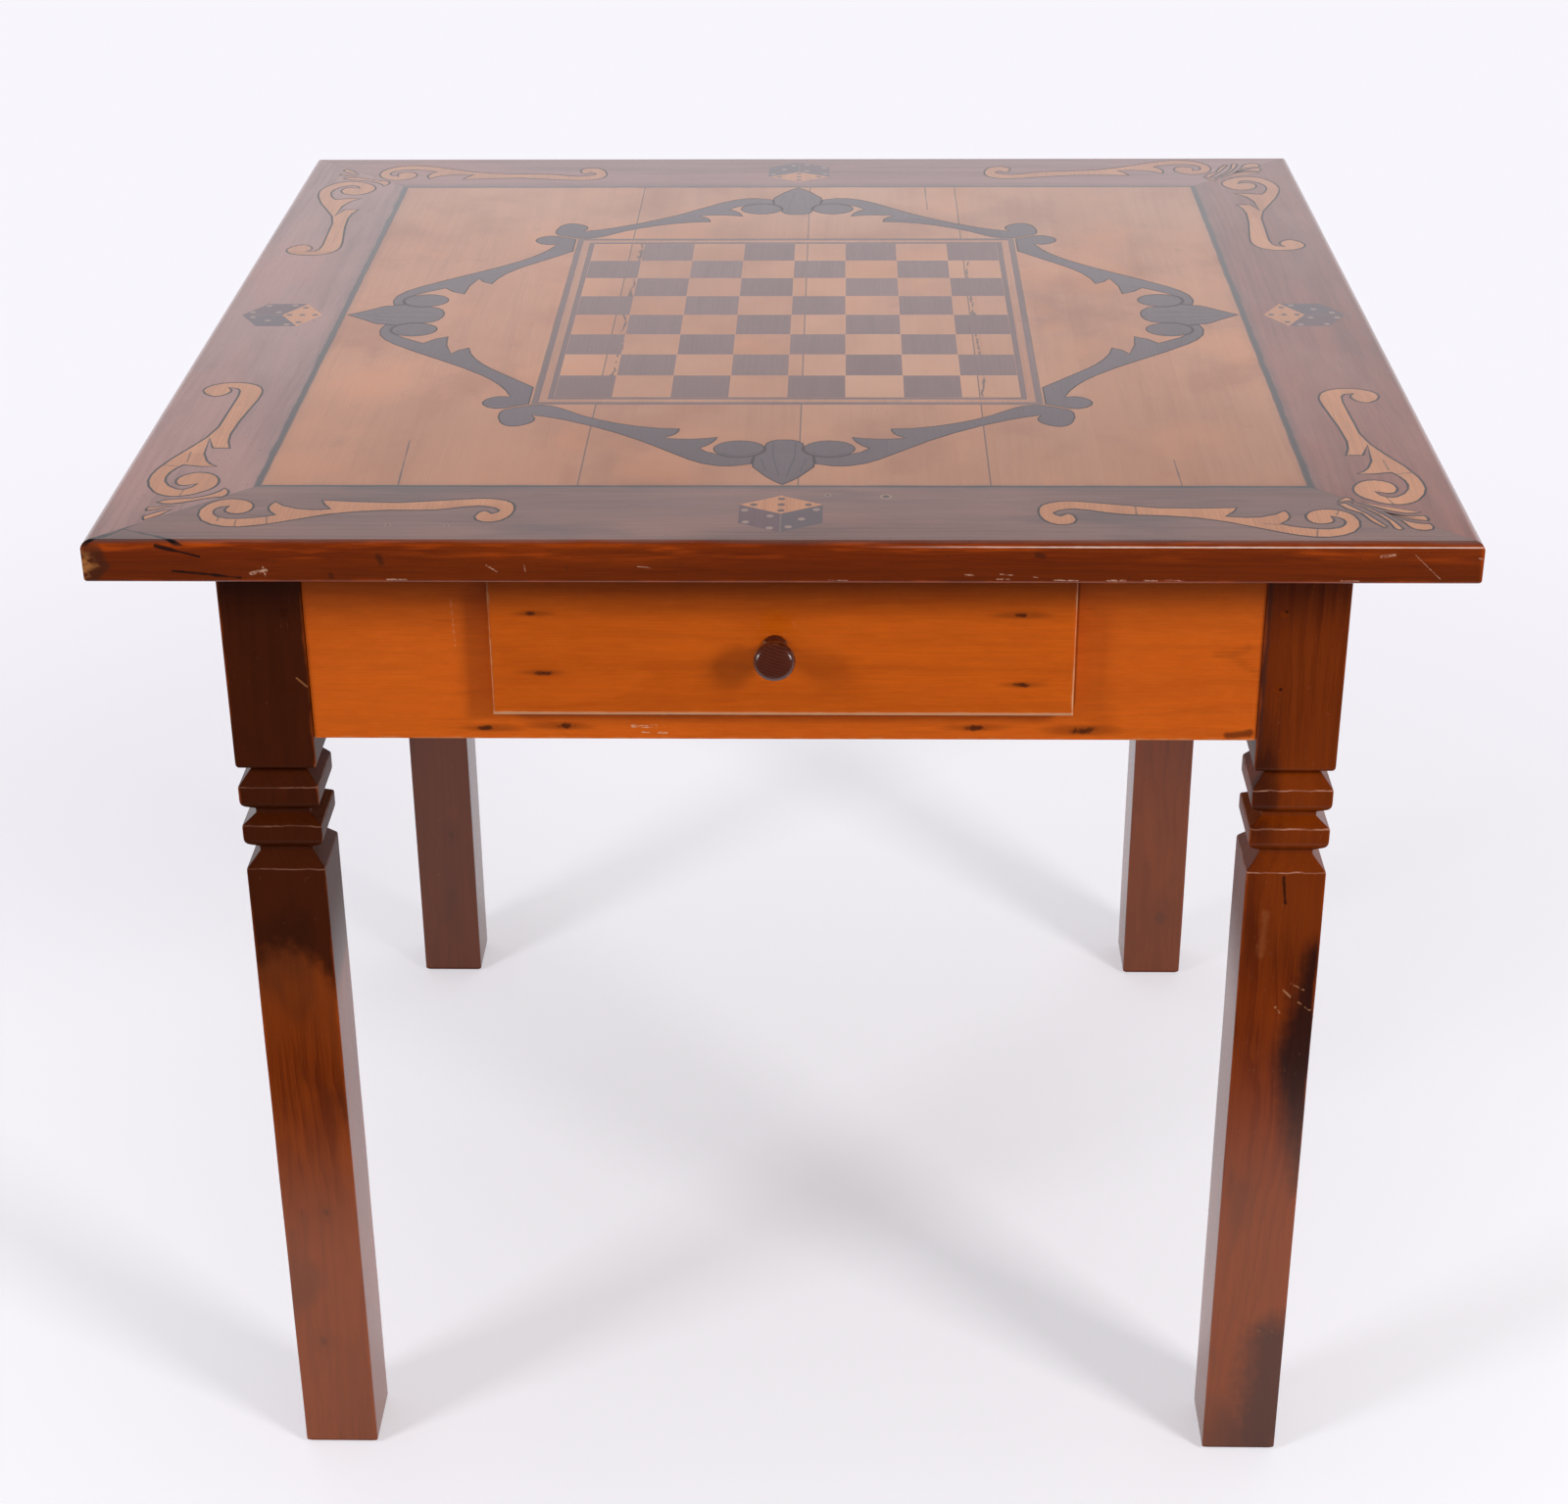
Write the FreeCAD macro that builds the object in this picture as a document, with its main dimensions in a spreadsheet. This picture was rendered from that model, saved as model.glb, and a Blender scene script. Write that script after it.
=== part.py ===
import FreeCAD, Part
import math
import os
import Sketcher

# Chess table with an inlaid board and one drawer.
# Millimetres. The origin is the middle of the footprint on the floor, +Z is up,
# and the drawer opens towards -Y.

Vector = FreeCAD.Vector
doc = FreeCAD.newDocument("ChessTable")

# ---------------------------------------------------------------- dimensions
DIMENSIONS = [
    ("top_width", 850, "whole top, left to right"),
    ("top_depth", 870, "whole top, front to back"),
    ("total_height", 760, "floor to playing surface"),
    ("top_thickness", 27, "frame boards and field planks"),
    ("border_width", 93, "mitred frame board"),
    ("border_top_round", 5, "radius of the upper outer edge"),
    ("border_low_round", 3, "radius of the lower outer edge"),
    ("tongue_length", 9, "tongue of a plank"),
    ("tongue_thickness", 8, "tongue of a plank"),
    ("tongue_low", 8, "underside of the top to the tongue"),
    ("spline_thickness", 4, "loose tongue across a mitre"),
    ("spline_width", 26, "loose tongue across a mitre"),
    ("spline_low", 3, "underside of the top to the loose tongue"),
    ("seam_left", 130, "middle to the left plank seam"),
    ("seam_middle", 10, "middle to the centre plank seam"),
    ("seam_right", 132, "middle to the right plank seam"),
    ("inlay_depth", 4, "thickness of every inlaid piece"),
    ("saw_step", 0.5, "most that a sawn outline leaves its curve"),
    ("square_width", 40, "pitch of the squares, left to right"),
    ("square_depth", 44.6, "pitch of the squares, front to back"),
    ("square_neck", 0.4, "light wood left between two dark corners"),
    ("dark_band", 4, "width of either dark strip"),
    ("light_band", 5.5, "width of the light strip"),
    ("disc_half_length", 17.2, "oval disc, along the side"),
    ("disc_half_width", 15.4, "oval disc, across the side"),
    ("die_radius", 30, "corner radius of the hexagon of a die"),
    ("die_in", 46.5, "frame's inner edge to the middle of a die"),
    ("leg_width", 54, "square post"),
    ("overhang_x", 63.5, "top's edge to the posts, left and right"),
    ("overhang_y", 69.5, "top's edge to the posts, front and back"),
    ("neck_depth", 8.5, "depth of the three grooves"),
    ("foot_ease", 3, "chamfer round the foot"),
    ("apron_height", 142, "apron boards"),
    ("apron_thickness", 22, "apron boards"),
    ("apron_setback", 2, "post face to apron face"),
    ("tenon_length", 32, "apron tenon"),
    ("tenon_thickness", 10, "apron tenon"),
    ("tenon_offset", 6, "apron face to tenon"),
    ("tenon_low", 15, "apron's lower edge to tenon"),
    ("tenon_height", 100, "apron tenon"),
    ("mortise_end_gap", 1, "play at the end of a tenon"),
    ("peg_radius", 3, "eight-sided peg, to its corners"),
    ("peg_gap", 0.1, "radial play of a peg"),
    ("peg_length", 27, "eight-sided peg"),
    ("peg_inset", 12, "joint line to peg"),
    ("peg_drop", 51, "underside of the top to the upper peg"),
    ("peg_rise", 38, "apron's lower edge to the lower peg"),
    ("opening_half_width", 174.3, "drawer opening in the front apron"),
    ("rail_under", 37, "apron below the drawer opening"),
    ("rail_over", 17, "apron above the drawer opening"),
    ("lip_side", 12.7, "drawer front past the opening, left and right"),
    ("lip_under", 12, "drawer front past the opening, below"),
    ("lip_over", 9, "drawer front past the opening, above"),
    ("front_thickness", 16, "drawer front"),
    ("front_round", 2.5, "rounded edges of the drawer front"),
    ("front_gap", 0.3, "drawer front to apron"),
    ("side_thickness", 12, "drawer side and back"),
    ("side_clearance", 0.8, "drawer side to opening"),
    ("side_play_under", 1, "opening to the drawer sides, below"),
    ("side_play_over", 1.5, "opening to the drawer sides, above"),
    ("drawer_length", 420, "drawer front's back face to the end of the sides"),
    ("housing_depth", 8, "drawer side let into the drawer front"),
    ("back_inset", 10, "end of the sides to the drawer back"),
    ("back_housing", 5, "drawer back let into the sides"),
    ("bottom_thickness", 6, "drawer bottom"),
    ("bottom_rise", 6, "lower edge of the sides to the drawer bottom"),
    ("bottom_groove", 6, "depth of the groove for the bottom"),
    ("running_gap", 0.3, "drawer side to runner"),
    ("runner_width", 38, "runner with its guide"),
    ("runner_height", 18, "runner below the drawer side"),
    ("guide_gap", 0.4, "drawer side to guide"),
    ("guide_height", 22, "guide above the runner"),
    ("guide_width", 14, "guide"),
    ("runner_housing", 6, "runner let into the aprons"),
    ("kicker_gap", 1, "drawer side to kicker"),
    ("kicker_width", 30, "kicker"),
    ("block_length", 46, "glue block"),
    ("block_side", 20, "glue block"),
    ("knob_drop", 4.5, "middle of the drawer front down to the knob's axis"),
    ("knob_shift", -4.4, "middle of the drawer to the knob's axis"),
    ("knob_radius", 13.4, "face of the knob"),
    ("knob_length", 28.5, "drawer front to the knob's face"),
    ("knob_collar", 8, "radius of the collar"),
    ("knob_neck", 5.6, "radius of the neck"),
    ("knob_spigot", 4.5, "radius of the spigot"),
    ("knob_spigot_gap", 0.1, "radial play of the spigot"),
]

# Places that follow from the dimensions.
DERIVED = {
    "leg_spread_x": "top_width / 2 - overhang_x - leg_width / 2",
    "leg_spread_y": "top_depth / 2 - overhang_y - leg_width / 2",
    "under_top": "total_height - top_thickness",
    "apron_low": "under_top - apron_height",
    "peg_high": "under_top - peg_drop",
    "peg_low": "apron_low + peg_rise",
    "opening_low": "apron_low + rail_under",
    "opening_high": "under_top - rail_over",
    "front_half_width": "opening_half_width + lip_side",
    "front_low": "opening_low - lip_under",
    "front_high": "opening_high + lip_over",
    "side_low": "opening_low + side_play_under",
    "side_high": "opening_high - side_play_over",
    "bottom_low": "side_low + bottom_rise",
    "knob_height": "(front_low + front_high) / 2 - knob_drop",
}

sheet = doc.addObject("Spreadsheet::Sheet", "Dimensions")
for row, (alias, number, note) in enumerate(DIMENSIONS, start=1):
    sheet.set(f"A{row}", alias)
    sheet.set(f"B{row}", str(number))
    sheet.set(f"C{row}", note)
    sheet.setAlias(f"B{row}", alias)
doc.recompute()

ALIASES = [alias for alias, number, note in DIMENSIONS]


def linked(words):
    """Turn a formula in plain dimension names into one that reads the sheet."""
    out = ""
    word = ""
    for letter in words + " ":
        if letter.isalnum() or letter == "_":
            word += letter
            continue
        if word in DERIVED:
            out += f"({linked(DERIVED[word])})"
        else:
            out += f"Dimensions.{word}" if word in ALIASES else word
        out += letter
        word = ""
    return out.strip()


def value(words):
    """The number a formula stands for now."""
    return float(sheet.evalExpression(linked(str(words))))


def bind(thing, name, words):
    thing.setExpression(name, linked(str(words)))


def origin_plane(body, role):
    for feature in body.Origin.OriginFeatures:
        if feature.Role == role:
            return feature
    raise ValueError(role)


def new_body(label):
    body = doc.addObject("PartDesign::Body", label)
    body.Label = label
    return body


def place(thing, x="0", y="0", z="0", angle=0.0):
    """Move a node to its spot with formulas, turned about Z by a fixed angle."""
    thing.Placement = FreeCAD.Placement(
        Vector(value(x), value(y), value(z)), FreeCAD.Rotation(Vector(0, 0, 1), angle)
    )
    bind(thing, "Placement.Base.x", x)
    bind(thing, "Placement.Base.y", y)
    bind(thing, "Placement.Base.z", z)
    return thing


def new_sketch(body, role, name, offset=None):
    """A sketch on one of the body's own planes, moved along the plane's normal by a formula."""
    sketch = body.newObject("Sketcher::SketchObject", name)
    sketch.AttachmentSupport = [(origin_plane(body, role), "")]
    sketch.MapMode = "FlatFace"
    if offset is not None:
        bind(sketch, "AttachmentOffset.Base.z", offset)
    return sketch


def polygon(sketch, corners):
    """A closed polygon whose corners are pairs of formulas."""
    points = [Vector(value(x), value(y), 0) for x, y in corners]
    first = sketch.GeometryCount
    count = len(points)
    for index, point in enumerate(points):
        sketch.addGeometry(Part.LineSegment(point, points[(index + 1) % count]), False)
    for index in range(count):
        following = first + (index + 1) % count
        sketch.addConstraint(Sketcher.Constraint("Coincident", first + index, 2, following, 1))
    for index, (x, y) in enumerate(corners):
        across = sketch.addConstraint(
            Sketcher.Constraint("DistanceX", -1, 1, first + index, 1, points[index].x)
        )
        bind(sketch, f"Constraints[{across}]", x)
        along = sketch.addConstraint(
            Sketcher.Constraint("DistanceY", -1, 1, first + index, 1, points[index].y)
        )
        bind(sketch, f"Constraints[{along}]", y)


def rectangle(sketch, left, right, low, high):
    polygon(sketch, [(left, low), (right, low), (right, high), (left, high)])


def circle(sketch, x, y, radius):
    index = sketch.addGeometry(
        Part.Circle(Vector(value(x), value(y), 0), Vector(0, 0, 1), value(radius)), False
    )
    across = sketch.addConstraint(Sketcher.Constraint("DistanceX", -1, 1, index, 3, value(x)))
    bind(sketch, f"Constraints[{across}]", x)
    along = sketch.addConstraint(Sketcher.Constraint("DistanceY", -1, 1, index, 3, value(y)))
    bind(sketch, f"Constraints[{along}]", y)
    size = sketch.addConstraint(Sketcher.Constraint("Radius", index, value(radius)))
    bind(sketch, f"Constraints[{size}]", radius)


def octagon(sketch, x, y, radius):
    turns = [math.radians(45 * corner) for corner in range(8)]
    polygon(sketch, [
        (f"{x} + ({radius}) * {math.cos(turn):.9f}", f"{y} + ({radius}) * {math.sin(turn):.9f}")
        for turn in turns
    ])


def pad(body, sketch, name, length, symmetric=False, reverse=False):
    feature = body.newObject("PartDesign::Pad", name)
    feature.Profile = sketch
    feature.SideType = "Symmetric" if symmetric else "One side"
    feature.Reversed = reverse
    bind(feature, "Length", length)
    doc.recompute()
    return feature


def pocket(body, sketch, name, length, symmetric=False, reverse=False):
    """Cut a sketch into the body, and stop if that removes nothing."""
    before = body.Shape.Volume
    feature = body.newObject("PartDesign::Pocket", name)
    feature.Profile = sketch
    feature.SideType = "Symmetric" if symmetric else "One side"
    feature.Reversed = reverse
    bind(feature, "Length", length)
    doc.recompute()
    if body.Shape.isNull() or not body.Shape.Volume < before - 1e-3:
        raise RuntimeError(f"{body.Label}: {name} removes nothing")
    return feature


def block(name, x, y, z):
    """A box from pairs of formulas: its low and high side along each axis."""
    box = doc.addObject("Part::Box", name)
    for axis, side, (low, high) in zip("xyz", ("Length", "Width", "Height"), (x, y, z)):
        setattr(box, side, value(f"({high}) - ({low})"))
        bind(box, side, f"({high}) - ({low})")
        bind(box, f"Placement.Base.{axis}", low)
    return box


def fuse(name, shapes):
    joined = doc.addObject("Part::MultiFuse", name)
    joined.Shapes = shapes
    return joined


def cut(name, base, tool):
    left = doc.addObject("Part::Cut", name)
    left.Base = base
    left.Tool = tool
    return left


def group(name, shapes):
    together = doc.addObject("Part::Compound", name)
    together.Links = shapes
    return together


nodes = {}


def keep(name, thing):
    """Register a finished sub-part under the name it is written with."""
    thing.Label = name
    nodes[name] = thing
    return thing


# ------------------------------------------------------------ derived levels
UNDER = "under_top"
INLAY_BED = "total_height - inlay_depth"
INNER_X = "top_width / 2 - border_width"
INNER_Y = "top_depth / 2 - border_width"
BOARD_X = "4 * square_width"
BOARD_Y = "4 * square_depth"


# ------------------------------------------------------- outlines of inlays
# An outline is a ring of runs. A run of two points is a straight edge, and a longer
# run is one smooth curve through its points. Each run starts where the last ended.
# Outlines are drawn for a top with these distances from its middle: none, the board's
# outer band, the frame's inner edge, and the edge of the top. They stretch with the top.
DRAWN_X = (0, 173.5, 332, 425)
DRAWN_Y = (0, 191.9, 342, 435)

DISC_SIDES = 20
FRONT_DISC = (29.5, 276.5)
SIDE_DISC = (275.5, 34)


def disc_corner(place, side):
    """A corner of an oval disc, counted anticlockwise from its right."""
    turn = 2 * math.pi * side / DISC_SIDES
    return (place[0] + value("disc_half_length") * math.cos(turn),
            place[1] + value("disc_half_width") * math.sin(turn))


def along_disc(place, sides, change=lambda x, y: (x, y)):
    """Straight edges along a disc, from corner to corner."""
    corners = [change(*disc_corner(place, side)) for side in sides]
    return [list(pair) for pair in zip(corners, corners[1:])]


LEFT_FRONT_DISC = (-FRONT_DISC[0], -FRONT_DISC[1])
FRONT_LEFT_DISC = (-SIDE_DISC[0], -SIDE_DISC[1])
FRONT_ROOT = (-20.4, -304)
SIDE_ROOT = (-298.5, -22.5)

# Arm from the front leaf to the board's corner: crescent, end lobe, two barbs, and the
# hollow that holds the disc.
FRONT_ARM = [
    [FRONT_ROOT, (-45, -307), (-77, -280.5), (-125, -238), (-171, -214)],
    [(-171, -214), (-172, -230), (-184, -235.5), (-194, -220), (-190.5, -201.5)],
    [(-190.5, -201.5), (-175, -193.5)],
    [(-175, -193.5), (-158, -196), (-144, -208), (-112, -229), (-70, -239)],
    [(-70, -239), (-72, -249), (-79, -256.5)],
    [(-79, -256.5), (-60, -258), (-44, -254.5)],
    [(-44, -254.5), (-48, -267), (-55, -275.5)],
    [(-55, -275.5), (-50.5, -281.5), disc_corner(LEFT_FRONT_DISC, 12)],
    *along_disc(LEFT_FRONT_DISC, range(12, 18)),
    [disc_corner(LEFT_FRONT_DISC, 17), FRONT_ROOT],
]

# Arm from the left leaf to the same corner.
SIDE_ARM = [
    [SIDE_ROOT, (-299.3, -46), (-277, -76), (-226, -122), (-190.5, -177)],
    [(-190.5, -177), (-203, -178.5), (-208.5, -189), (-203, -199), (-191.5, -200.5)],
    [(-191.5, -200.5), (-175.5, -192.2)],
    [(-175.5, -192.2), (-175.5, -158)],
    [(-175.5, -158), (-190, -141), (-210.6, -117.4), (-230.3, -74)],
    [(-230.3, -74), (-237.5, -79), (-242, -87)],
    [(-242, -87), (-247, -68), (-248.5, -49)],
    [(-248.5, -49), (-257, -54), (-265, -64)],
    [(-265, -64), (-273, -57.5), (-281, -51.5), disc_corner(FRONT_LEFT_DISC, 13)],
    *along_disc(FRONT_LEFT_DISC, range(13, 7, -1)),
    [disc_corner(FRONT_LEFT_DISC, 8), SIDE_ROOT],
]

# Pointed leaves: distance from the tip, half width. Each half runs from the tip past the
# root of its arm and along its disc to the end of the stem.
LEAF_TIP_X = DRAWN_X[2] - 1.5
LEAF_TIP_Y = DRAWN_Y[2] - 1.5


def from_front_tip(x, y):
    return y + LEAF_TIP_Y, -x


def from_left_tip(x, y):
    return x + LEAF_TIP_X, -y


front_disc_edges = along_disc(LEFT_FRONT_DISC, range(17, 22), from_front_tip)
left_disc_edges = along_disc(FRONT_LEFT_DISC, range(8, 3, -1), from_left_tip)
FRONT_LEAF = [
    [(0, 0), (10, 8.5), (20, 14.5), (31, 20)],
    [(31, 20), from_front_tip(*FRONT_ROOT)],
    [from_front_tip(*FRONT_ROOT), front_disc_edges[0][0]],
    *front_disc_edges,
    [front_disc_edges[-1][1], (76.5, 11), (80, 7), (81, 0)],
]
SIDE_LEAF = [
    [(0, 0), (9, 7), (18, 15), (26, 21.5), from_left_tip(*SIDE_ROOT)],
    [from_left_tip(*SIDE_ROOT), left_disc_edges[0][0]],
    *left_disc_edges,
    [left_disc_edges[-1][1], (67, 16.5), (71.5, 9.5), (73, 0)],
]

# Scrolls and fans are drawn in the quarter with both distances from the middle positive.
# The scrolls are drawn as they lie at the right: top of the arm and small curl, its lower
# side and the volute, the volute's slit, and two barbs.
FRONT_SCROLL = [
    [(283.7, 376.9), (250.5, 377.9), (219, 375.3), (197.2, 369.6), (176, 366.4), (161.7, 372.9),
     (158.6, 388), (164.7, 403.5), (172.6, 406.9), (180.6, 403.5), (183, 395), (178.5, 386.8), (172.4, 390.5)],
    [(172.4, 390.5), (169.6, 386), (174.5, 382.2), (203.2, 387.7), (234.7, 391.7), (258.4, 396),
     (278.2, 403.5), (313.7, 422.6), (329.5, 426), (349.2, 417.6), (356, 401.6), (352.2, 386.5),
     (337.4, 378.8), (322, 391.7), (327.5, 404.3), (338.2, 402.6), (339.4, 392.5)],
    [(339.4, 392.5), (345.4, 399.2), (341.5, 408), (327, 410.6), (307.4, 403.5)],
    [(307.4, 403.5), (314.4, 391), (311.7, 381.2)],
    [(311.7, 381.2), (301.9, 389.2), (290, 392.6), (275.2, 391.5)],
    [(275.2, 391.5), (280, 385.5), (283.7, 376.9)],
]
SIDE_SCROLL = [
    [(363.1, 288.4), (367.6, 264), (366.6, 238.7), (362.3, 199.2), (361.6, 179.5), (366.5, 166.5),
     (376, 160.3), (388, 159.6), (400.5, 164.8), (404.9, 176.5), (392.6, 189.2), (384, 181), (386.5, 171)],
    [(386.5, 171), (380.8, 173.5), (378.4, 183), (378.8, 205.1), (379.8, 242.6), (383.2, 265),
     (392.7, 290), (405.7, 331), (404, 354), (386.7, 372.9), (367, 366.5), (358.2, 348), (371.9, 330.1),
     (387, 338.4), (385.5, 352.8), (373.2, 351.5)],
    [(373.2, 351.5), (381.5, 359.4), (391.8, 349.5), (393.1, 331), (387.7, 318.6)],
    [(387.7, 318.6), (377, 321.4), (365, 320.6)],
    [(365, 320.6), (374.9, 307.8), (379.1, 290), (380.8, 270)],
    [(380.8, 270), (378.5, 279), (375.9, 288)],
    [(375.9, 288), (363.1, 288.4)],
]
# The left half was cut by hand to the same pattern, but set a little differently.
LEFT_FRONT_TURN = math.radians(4.1)
LEFT_FRONT_PIVOT = (158.8, 387)
LEFT_FRONT_MOVE = (6.5, -2)
LEFT_SIDE_MOVE = -11.5

# Fan at a right-hand corner: stem, then five leaves from the lowest to the highest.
RIGHT_FAN = [
    [
        [(345.4, 368.8), (349.5, 362), (353.2, 359.2)],
        [(353.2, 359.2), (356.8, 363), (357.6, 366)],
        [(357.6, 366), (345.4, 368.8)],
    ],
    [
        [(345, 371), (350.8, 381.6), (357.2, 387)],
        [(357.2, 387), (362, 401), (368, 411)],
        [(368, 411), (371.6, 408.5)],
        [(371.6, 408.5), (363.4, 389.8), (351.2, 369)],
        [(351.2, 369), (345, 371)],
    ],
    [
        [(353.2, 368.6), (363.6, 382.4), (370.8, 397), (373.6, 411)],
        [(373.6, 411), (376.5, 414), (380.6, 411.5)],
        [(380.6, 411.5), (372, 388), (357.4, 368.2)],
        [(357.4, 368.2), (353.2, 368.6)],
    ],
    [
        [(374.8, 389.6), (379, 396.5), (383.2, 409)],
        [(383.2, 409), (389, 414.4), (398, 413)],
        [(398, 413), (399.3, 408), (398, 402.6)],
        [(398, 402.6), (390.5, 401.6), (383.5, 397.6), (374.8, 389.6)],
    ],
    [
        [(370.4, 382.4), (383.5, 389.2), (396.5, 389.6)],
        [(396.5, 389.6), (398.6, 394), (397.6, 399.8)],
        [(397.6, 399.8), (384.2, 395.4), (370.4, 382.4)],
    ],
    [
        [(359.6, 368.4), (367.5, 374), (378.4, 377.6), (390.6, 380.6), (396.4, 384.8)],
        [(396.4, 384.8), (391, 387.2), (374.5, 382.4), (359.6, 368.4)],
    ],
]
# Fan at a left-hand corner: one leaf with the stem, and two below it.
LEFT_FAN = [
    [
        [(353.9, 345.6), (364.5, 359.4), (375.7, 364), (386.6, 365.6), (392.8, 371)],
        [(392.8, 371), (385.2, 374.2), (375.7, 372.4), (359.4, 363.9), (351.2, 362.6)],
        [(351.2, 362.6), (348.6, 354), (353.9, 345.6)],
    ],
    [
        [(378, 376.4), (387.9, 377), (395.8, 378.8)],
        [(395.8, 378.8), (397, 382.4), (395.4, 385.6)],
        [(395.4, 385.6), (387.9, 382), (378, 376.4)],
    ],
    [
        [(379, 381.6), (386.6, 385), (396, 393)],
        [(396, 393), (395.6, 397.5), (393.6, 401.2)],
        [(393.6, 401.2), (384.6, 392.4), (379, 381.6)],
    ],
]


BAND_OUT = "2 * dark_band + light_band"
inner_x, inner_y = value(INNER_X), value(INNER_Y)
real_x = (0, value(f"{BOARD_X} + {BAND_OUT}"), inner_x, value("top_width / 2"))
real_y = (0, value(f"{BOARD_Y} + {BAND_OUT}"), inner_y, value("top_depth / 2"))
saw_step = value("saw_step")


def stretched(drawn_place, drawn, real):
    """A coordinate of a drawn outline, carried to where it lies on the real top."""
    size = abs(drawn_place)
    zone = 1
    while size > drawn[zone] and zone < len(drawn) - 1:
        zone += 1
    share = (size - drawn[zone - 1]) / (drawn[zone] - drawn[zone - 1])
    return math.copysign(real[zone - 1] + share * (real[zone] - real[zone - 1]), drawn_place)


def fitted(points):
    return [(stretched(x, DRAWN_X, real_x), stretched(y, DRAWN_Y, real_y)) for x, y in points]


def sawn(run):
    """The points of the short straight cuts that follow a run, without its last point."""
    points = [Vector(x, y, 0) for x, y in run]
    if len(points) > 2:
        curve = Part.BSplineCurve()
        curve.interpolate(points)
        points = curve.toShape().discretize(QuasiDeflection=saw_step)
    return [(point.x, point.y) for point in points[:-1]]


def ring_sketch(name, ring):
    """A closed outline of straight edges at the bed of the inlay."""
    sketch = doc.addObject("Sketcher::SketchObject", name)
    bind(sketch, "Placement.Base.z", INLAY_BED)
    corners = [Vector(x, y, 0) for x, y in ring]
    count = len(corners)
    for index in range(count):
        sketch.addGeometry(Part.LineSegment(corners[index], corners[(index + 1) % count]), False)
    sketch.addConstraint([
        Sketcher.Constraint("Coincident", index, 2, (index + 1) % count, 1)
        for index in range(count)
    ])
    return sketch


def raised(name, outline):
    """The outline carried up to the playing surface."""
    solid = doc.addObject("Part::Extrusion", name)
    solid.Base = outline
    solid.DirMode = "Custom"
    solid.Dir = Vector(0, 0, 1)
    solid.Solid = True
    bind(solid, "LengthFwd", "inlay_depth")
    return solid


def flat_inlay(name, ring):
    return raised(name, ring_sketch(f"{name}_outline", ring))


def shaped_inlay(name, runs):
    return flat_inlay(name, [point for run in runs for point in sawn(fitted(run))])


QUARTERS = [(1, 1), (-1, 1), (-1, -1), (1, -1)]


def mirrored_by(side_x, side_y):
    return lambda x, y: (x * side_x, y * side_y)


def inlay_set(prefix, runs, changes):
    """One inlaid piece repeated in every place it is needed."""
    return [
        shaped_inlay(f"{prefix}_{number}", [[change(x, y) for x, y in run] for run in runs])
        for number, change in enumerate(changes, start=1)
    ]


quarter_changes = [mirrored_by(side_x, side_y) for side_x, side_y in QUARTERS]
arm_pieces = inlay_set("front_arm", FRONT_ARM, quarter_changes)
arm_pieces += inlay_set("side_arm", SIDE_ARM, quarter_changes)

# A leaf's second half is its first half mirrored.
front_leaf_changes = [
    lambda u, w: (w, u - LEAF_TIP_Y),
    lambda u, w: (w, LEAF_TIP_Y - u),
]
side_leaf_changes = [
    lambda u, w: (u - LEAF_TIP_X, w),
    lambda u, w: (LEAF_TIP_X - u, w),
]


def whole_leaf(half):
    return half + [[(u, -w) for u, w in reversed(run)] for run in reversed(half)]


leaf_pieces = inlay_set("front_fleuron", whole_leaf(FRONT_LEAF), front_leaf_changes)
leaf_pieces += inlay_set("side_fleuron", whole_leaf(SIDE_LEAF), side_leaf_changes)


def disc(name, side_x, side_y, place):
    """An oval disc, sawn in short straight cuts."""
    ring = [disc_corner(place, side) for side in range(DISC_SIDES)]
    return flat_inlay(name, fitted([(x * side_x, y * side_y) for x, y in ring]))


disc_pieces = [
    disc(f"disc_{number}", side_x, side_y, place)
    for number, (place, side_x, side_y) in enumerate(
        ((place, *quarter) for quarter in QUARTERS for place in (FRONT_DISC, SIDE_DISC)), start=1)
]


def left_front(x, y):
    """Where a point of the front scroll lies in the left half, still with both distances positive."""
    turn, (pivot_x, pivot_y) = LEFT_FRONT_TURN, LEFT_FRONT_PIVOT
    along, across = x - pivot_x, y - pivot_y
    return (pivot_x + along * math.cos(turn) + across * math.sin(turn) + LEFT_FRONT_MOVE[0],
            pivot_y + across * math.cos(turn) - along * math.sin(turn) + LEFT_FRONT_MOVE[1])


def left_side(x, y):
    return x, y + LEFT_SIDE_MOVE


def as_drawn(x, y):
    return x, y


def places_of(left_change):
    """The four places of a piece: as drawn at the right, and with the left half's own change."""
    return [
        lambda x, y, a=side_x, b=side_y, change=left_change if side_x < 0 else as_drawn: (
            a * change(x, y)[0], b * change(x, y)[1])
        for side_x, side_y in QUARTERS
    ]


scroll_pieces = inlay_set("front_scroll", FRONT_SCROLL, places_of(left_front))
scroll_pieces += inlay_set("side_scroll", SIDE_SCROLL, places_of(left_side))

fan_pieces = []
for half, leaves in ((1, RIGHT_FAN), (-1, LEFT_FAN)):
    changes = [mirrored_by(side_x, side_y) for side_x, side_y in QUARTERS if side_x == half]
    for number, runs in enumerate(leaves, start=1):
        fan_pieces += inlay_set(f"fan_{'right' if half > 0 else 'left'}_{number}", runs, changes)


def hexagon_point(index, radius):
    angle = math.radians(90 + 60 * index)
    return radius * math.cos(angle), radius * math.sin(angle)


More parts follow.
